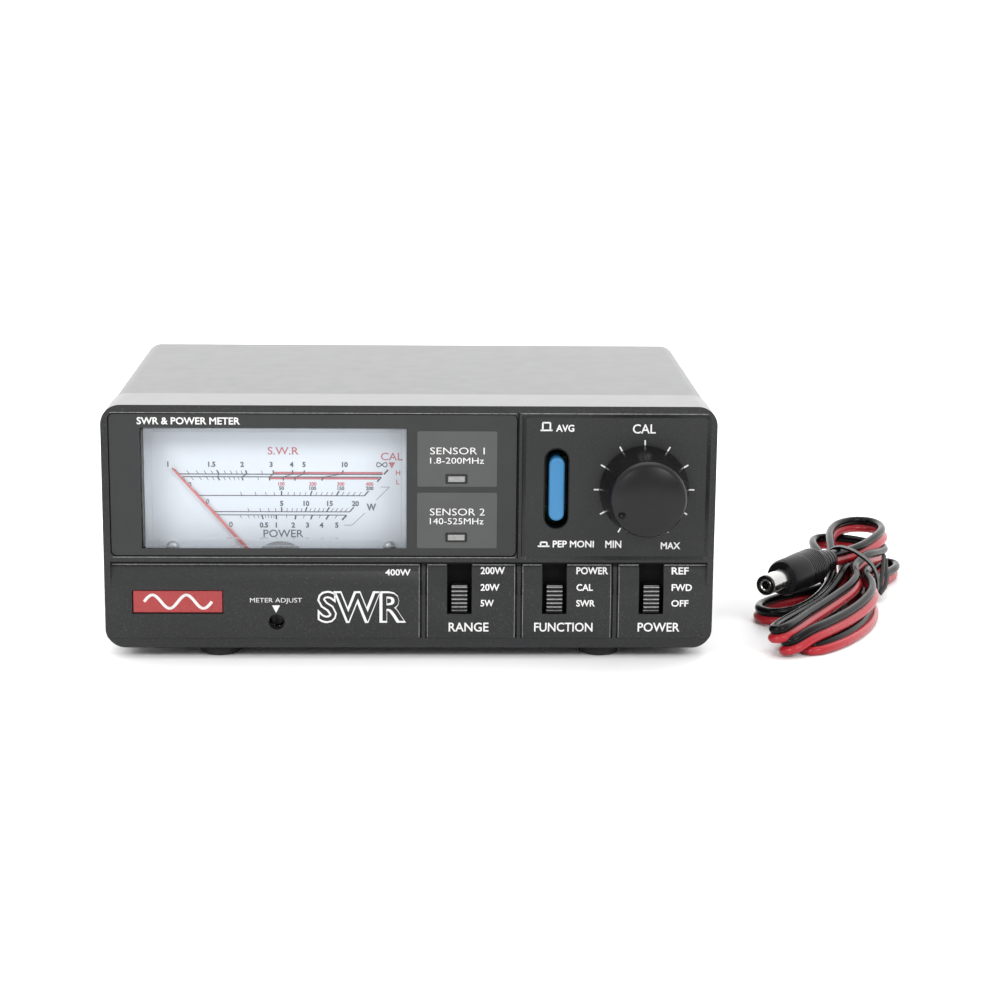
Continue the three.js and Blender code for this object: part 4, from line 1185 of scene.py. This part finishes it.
dial_scales()
dial_screws()
pivot_dome()
needle()
refined("meter_lens", "housing", clear_lens, "clear_plastic", 0.2, 2)
for node_name, finish in (
    ("dial_plate", dial_card), ("meter_case", ivory), ("meter_magnet", tinplate),
    ("moving_coil", copper), ("meter_lamp", clear_lens), ("main_board", circuit_board),
    ("cal_potentiometer", tinplate), ("cal_nut", nickel), ("cal_shaft", nickel),
    ("mode_switch_body", black_plastic),
):
    paint(node_name, finish)
for name in SLIDER_X:
    paint(f"{name}_switch_body", tinplate)
for number in (1, 2):
    paint(f"sensor_{number}_box", tinplate)
    paint(f"sensor_{number}_board", circuit_board)
refined("zero_adjust_screw", "zero_adjuster", black_plastic, "black_plastic", 0.1, 2)

# ---- controls ----


def cal_knob():
    """A turned knob: polished tapering side, satin domed face with one pointer dimple."""
    bm = bmesh.new()
    front = 13.5
    bore, bore_end = 3.3, -8.5
    side = [(9.7, -10.9), (10.3, -7.6), (10.95, -3.6), (11.36, -0.6), (11.4, -0.1), (11.3, 0.3)]
    inner = [(7.5, 0.3), (7.5, -3.2), (bore, -3.2), (bore, bore_end), (0, bore_end)]
    edge = [(9.05, -12.05), (9.3, -11.8), (9.5, -11.5), (9.63, -11.2)]
    rings, face_radius, crown = 24, 8.9, 1.45
    face = []
    for i in range(rings + 1):
        radius = face_radius * i / rings
        face.append((radius, -front + crown * (radius / face_radius) ** 2.6))
    profile = face + edge + side + inner
    satin_steps = len(face) + len(edge) - 1
    turn_profile(bm, profile, 144, at(KNOB[0], 0, KNOB[1]), BACKWARD,
                 lambda index: 0 if index < satin_steps else 1)
    angle, off_centre = math.radians(240), 7.6
    dimple = at(
        KNOB[0] + off_centre * math.sin(angle), -front, KNOB[1] + off_centre * math.cos(angle),
    )
    reach, deep = 0.95 * MM, 0.9 * MM
    face_limit = FRONT_Y - 11 * MM  # only the face stands further out than this
    for vertex in bm.verts:
        offset = vertex.co - dimple
        away = math.hypot(offset.x, offset.z)
        if away < reach and vertex.co.y < face_limit:
            vertex.co.y += deep * (1 - (away / reach) ** 2)
    new_piece("cal_knob_turned", bm, "cal_control", [satin_black, gloss_black], "gloss_black",
              crease=25, replaces=("cal_knob",))


def loft(bm, loops, closed=False):
    """Joins closed loops of equal length into one closed solid, or into a tube closed on itself."""
    skin(bm, [[bm.verts.new(point) for point in loop] for loop in loops], closed)


def stadium_loop(width, height, depth):
    """An upright round-ended outline about the button's middle."""
    steps = 14
    x, z = BUTTON
    half, straight = width / 2, (height - width) / 2
    loop = []
    for start, sign in ((0, 1), (180, -1)):
        for i in range(steps + 1):
            angle = math.radians(start + 180 * i / steps)
            loop.append(at(
                x + half * math.cos(angle), depth, z + sign * straight + half * math.sin(angle),
            ))
    return loop


def mode_button():
    """The push button's rounded cap with its stem, and the gloss well that it sinks into."""
    bm = bmesh.new()
    width, height, radius = 3.9, 16.4, 0.7
    loops = [
        stadium_loop(width - 2.6, height - 2.6, -0.62),
        stadium_loop(width - 1.9, height - 1.9, -0.58),
    ]
    for i in range(7):
        angle = math.radians(90 * i / 6)
        inset = radius * (1 - math.sin(angle))
        depth = -0.5 + radius * (1 - math.cos(angle))
        loops.append(stadium_loop(width - 2 * inset, height - 2 * inset, depth))
    loops.append(stadium_loop(width, height, 6.9))
    loft(bm, loops)
    stem = 1.5
    prism(bm, rectangle(
        BUTTON[0] - stem, BUTTON[0] + stem, BUTTON[1] - stem, BUTTON[1] + stem,
    ), 6.9, 12)
    new_piece("mode_button_cap", bm, "push_button", blue_plastic, "blue_plastic", crease=40,
              replaces=("mode_button",))
    bm = bmesh.new()
    outer, inner = (6.4, 21.0), (5.9, 20.5)
    loft(bm, [
        stadium_loop(*outer, 0.55), stadium_loop(6.3, 20.9, 0.45), stadium_loop(6.0, 20.6, 0.45),
        stadium_loop(*inner, 0.6), stadium_loop(*inner, 6.9), stadium_loop(*outer, 6.9),
    ], closed=True)
    new_piece("button_well", bm, "housing", gloss_black, "black_plastic", crease=40)


def slide_knobs():
    """Three ribbed sliders, each with its stem and the plate behind its slot in painted shade black,
    and a painted highlight on the upward faces of its ridges.
    """
    width, height, z = 4.1, 7.2, 15.9
    ridges = 7
    pitch = height / ridges
    for name, x in SLIDER_X.items():
        bm = bmesh.new()
        rows = [(5.0, z - height / 2)]
        for i in range(ridges):
            low = z - height / 2 + i * pitch
            for share, lift in (
                (0.02, 0.0), (0.1, 0.32), (0.2, 0.5), (0.32, 0.56), (0.55, 0.56), (0.68, 0.5),
                (0.8, 0.3), (0.88, 0.0), (0.98, 0.0),
            ):
                at_z = low + share * pitch
                crown = 0.5 * (1 - ((at_z - z) / (height / 2)) ** 2)
                rows.append((0.4 - crown - lift, at_z))
        rows.append((5.0, z + height / 2))
        loops = []
        for share, inset in ((-1, 0.22), (-0.97, 0.08), (-0.93, 0), (0.93, 0), (0.97, 0.08), (1, 0.22)):
            loops.append([
                at(x + share * width / 2, min(depth + inset, 5.0), h) for depth, h in rows
            ])
        loft(bm, loops)
        finger_faces = len(bm.faces)
        prism(bm, rectangle(x - 4, x + 4, z - 9.4, z + 9.2), 4.02, 5)
        prism(bm, rectangle(x - 1.5, x + 1.5, z - 1.2, z + 1.2), 5, 12)
        bmesh.ops.recalc_face_normals(bm, faces=bm.faces[:])
        # Plate and stem take the painted shade black; ridge faces that look up and out take the painted
        # highlight
        for index, face in enumerate(bm.faces):
            upward = face.normal.z > 0.25 and face.normal.y < -0.35
            face.material_index = 1 if index >= finger_faces else 2 if upward else 0
        new_piece(f"{name}_slide_knob", bm, f"{name}_switch", [satin_black, painted_shade_black, painted_ridge_highlight],
                  "black_plastic", crease=35, replaces=(f"{name}_slider",))


cal_knob()
mode_button()
slide_knobs()

# ---- case ----

refined("top_cover", "housing", cover_paint, "painted_steel", 0.22, 3)
refined("chassis", "housing", cover_paint, "painted_steel", 0.15, 2)
for side in ("left", "right"):
    for end in ("front", "rear"):
        refined(f"cover_screw_{side}_{end}", "housing", black_plastic, "black_plastic", 0.08, 2,
                angle=40)


def feet():
    """Four rubber feet, each with the screw that holds it."""
    for side, x in (("left", -49), ("right", 49)):
        for end, depth, top in (("front", 8, 2.7), ("rear", 93, 3.3)):
            turned(f"foot_{side}_{end}_rubber", [
                (0, 1.4), (1.9, 1.4), (2.0, 0.5), (2.2, 0.1), (2.5, 0.0), (4.1, 0.0), (4.6, 0.08),
                (5.0, 0.3), (5.2, 0.7), (5.3, 1.2), (5.3, top), (0, top),
            ], 64, at(x, depth, 0), UP, rubber, "rubber", replaces=(f"foot_{side}_{end}",))
            turned(f"foot_{side}_{end}_screw", [
                (0, 0.75), (0.35, 0.75), (0.5, 0.55), (1.3, 0.62), (1.7, 0.85), (1.78, 1.38), (0, 1.38),
            ], 32, at(x, depth, 0), UP, nickel, "nickel")


feet()

# ---- back ----

SOCKET_X = {"1_input": -57, "1_output": -29, "2_input": 29, "2_output": 57}
SOCKET_Z = 31
REAR = 102  # outer face of the rear panel, back from the front rim
FLANGE_SIDE = 25.4
FLANGE_FACE = 2.3  # the flange's outer face, behind the rear panel
SCREW_OFFSET = 9.1  # each flange screw from the socket's middle, across and up
THREAD_ROOT, THREAD_CREST = 7.4, 7.9  # radii of the barrel's thread
THREAD_PITCH, THREAD_START, THREAD_TURNS = 1.058, 104.8, 9
INLET_Z = 17  # the DC inlet, on the middle line


def sockets():
    """Four coaxial sockets: threaded shell with its flange, insulator, contact and four screws."""
    for name, x in SOCKET_X.items():
        origin = at(x, 0, SOCKET_Z)
        bm = bmesh.new()
        profile = [(4.5, 97.5), (7.5, 97.5), (7.5, 102.3), (7.9, 102.3), (7.9, 104.4), (7.35, 104.6)]
        for i in range(THREAD_TURNS):
            along = THREAD_START + i * THREAD_PITCH
            profile += [
                (THREAD_ROOT, along), (THREAD_CREST, along + 0.42 * THREAD_PITCH),
                (THREAD_CREST, along + 0.55 * THREAD_PITCH), (THREAD_ROOT, along + 0.97 * THREAD_PITCH),
            ]
        end = THREAD_START + THREAD_TURNS * THREAD_PITCH
        profile += [
            (THREAD_ROOT, end + 0.2), (THREAD_ROOT, 115.2), (7.25, 115.5), (6.5, 115.5),
            (6.4, 115.35), (6.4, 106.5), (4.5, 106.5), (4.5, 97.5),
        ]
        turn_profile(bm, profile, 72, origin, BACKWARD)
        flange(bm, x)
        new_piece(f"socket_{name}_shell", bm, "housing", nickel, "nickel", crease=28,
                  replaces=(f"socket_{name}",))
        turned(f"socket_{name}_insulator", [
            (3.1, 95.5), (4.2, 95.5), (4.2, 106.8), (6.1, 106.8), (6.1, 110.8), (5.95, 111.0),
            (3.25, 111.0), (3.1, 110.85), (3.1, 95.5),
        ], 56, origin, BACKWARD, ivory, "ivory_plastic", replaces=(f"insulator_{name}",))
        turned(f"socket_{name}_contact", [
            (0, 90), (1.3, 90), (1.4, 90.2), (1.4, 95), (2.8, 95), (2.8, 113.9), (2.65, 114.3),
            (2.3, 114.6), (2.15, 114.5), (2.0, 114.1), (2.0, 106), (0, 106),
        ], 48, origin, BACKWARD, brass, "brass", crease=28, replaces=(f"contact_{name}",))
        bm = bmesh.new()
        for across in (-SCREW_OFFSET, SCREW_OFFSET):
            for up in (-SCREW_OFFSET, SCREW_OFFSET):
                pan_head(bm, x + across, SOCKET_Z + up)
        new_piece(f"socket_{name}_screws", bm, "housing", nickel, "nickel", crease=28)


def flange(bm, x):
    """The square flange of one socket, a plate between its outline and the barrel."""
    half = FLANGE_SIDE / 2
    corner_radius = 1.6
    corners = rounded(x - half, x + half, SOCKET_Z - half, SOCKET_Z + half, corner_radius, 6)
    front, back = REAR + 0.3, REAR + FLANGE_FACE
    barrel = 7.85
    ring = []
    for cx, cz in corners:
        angle = math.atan2(cz - SOCKET_Z, cx - x)
        ring.append((x + barrel * math.cos(angle), SOCKET_Z + barrel * math.sin(angle)))
    inset = 0.25
    share = inset / half
    chamfered = [(px + (x - px) * share, pz + (SOCKET_Z - pz) * share) for px, pz in corners]
    rows = (
        (ring, front), (corners, front), (corners, back - inset), (chamfered, back), (ring, back),
    )
    loft(bm, [[at(px, depth, pz) for px, pz in points] for points, depth in rows], closed=True)


def pan_head(bm, x, z):
    """A pan-head screw with a hollow in its head, sitting on the flange."""
    origin = at(x, REAR + FLANGE_FACE, z)
    turn_profile(bm, [
        (0, -4), (1.4, -4), (1.4, 0.0), (2.75, 0.0), (2.8, 0.3), (2.7, 0.8), (2.3, 1.25), (1.5, 1.55),
        (1.0, 1.6), (0.45, 1.0), (0, 0.9),
    ], 36, origin, BACKWARD)


def dc_inlet():
    """The round DC inlet and the pin inside it."""
    origin = at(0, 0, INLET_Z)
    turned("dc_inlet", [
        (0, 92), (4, 92), (4, 102.3), (5.55, 102.3), (5.6, 102.5), (5.6, 104.2), (5.4, 104.5),
        (3.15, 104.5), (2.9, 104.3), (2.85, 104.0), (2.85, 95), (0, 95),
    ], 56, origin, BACKWARD, black_plastic, "black_plastic", replaces=("dc_jack",))
    turned("dc_inlet_pin", [
        (0, 95), (1.05, 95), (1.05, 102.4), (0.9, 102.8), (0.5, 103), (0, 103),
    ], 32, origin, BACKWARD, nickel, "nickel")


sockets()
dc_inlet()

# ---- stage ----


def make_stage():
    """A plain pale floor."""
    floor = bpy.data.meshes.new("floor")
    half = 6.0
    floor.from_pydata(
        [(-half, -half, 0), (half, -half, 0), (half, half, 0), (-half, half, 0)], [], [(0, 1, 2, 3)],
    )
    floor.materials.append(surface(
        "pale_floor", (0.90, 0.90, 0.90), (0.92, 0.92, 0.92), 0.6, patch=3, grain=200,
        strength=0.02,
    ))
    plane = bpy.data.objects.new("floor", floor)
    bpy.context.scene.collection.objects.link(plane)


def make_light(name, energy, size, position, target):
    """A soft rectangular lamp; energy in watts, the rest in metres."""
    data = bpy.data.lights.new(name, "AREA")
    data.energy = energy
    data.shape = "RECTANGLE"
    data.size, data.size_y = size
    light = bpy.data.objects.new(name, data)
    light.location = position
    light.rotation_euler = (Vector(target) - Vector(position)).to_track_quat("-Z", "Y").to_euler()
    bpy.context.scene.collection.objects.link(light)


def make_sky():
    """A white tent: brightest behind the meter, where its top catches it, and low in front."""
    world = bpy.data.worlds.new("studio")
    bpy.context.scene.world = world
    world.use_nodes = True
    tree = world.node_tree
    background = tree.nodes["Background"]
    coords = tree.nodes.new("ShaderNodeTexCoord")
    split = tree.nodes.new("ShaderNodeSeparateXYZ")
    tree.links.new(coords.outputs["Generated"], split.inputs["Vector"])
    shade = tree.nodes.new("ShaderNodeMapRange")
    shade.inputs["From Min"].default_value = -0.5
    shade.inputs["From Max"].default_value = 1
    shade.inputs["To Min"].default_value = 0.75
    shade.inputs["To Max"].default_value = 2.3
    tree.links.new(split.outputs["Y"], shade.inputs["Value"])
    tree.links.new(shade.outputs["Result"], background.inputs["Strength"])
    background.inputs["Color"].default_value = (1, 1, 1, 1)


make_stage()
make_sky()
make_light("key", 16, (0.8, 0.5), (-0.95, -1.4, 1.0), (0, 0, 0.03))
make_light("fill", 14, (0.8, 0.5), (0.95, -1.3, 1.0), (0, 0, 0.03))
make_light("top", 5, (1.2, 0.6), (0, 0.1, 1.3), (0, 0, 0.03))
bpy.context.scene.view_settings.view_transform = "Standard"
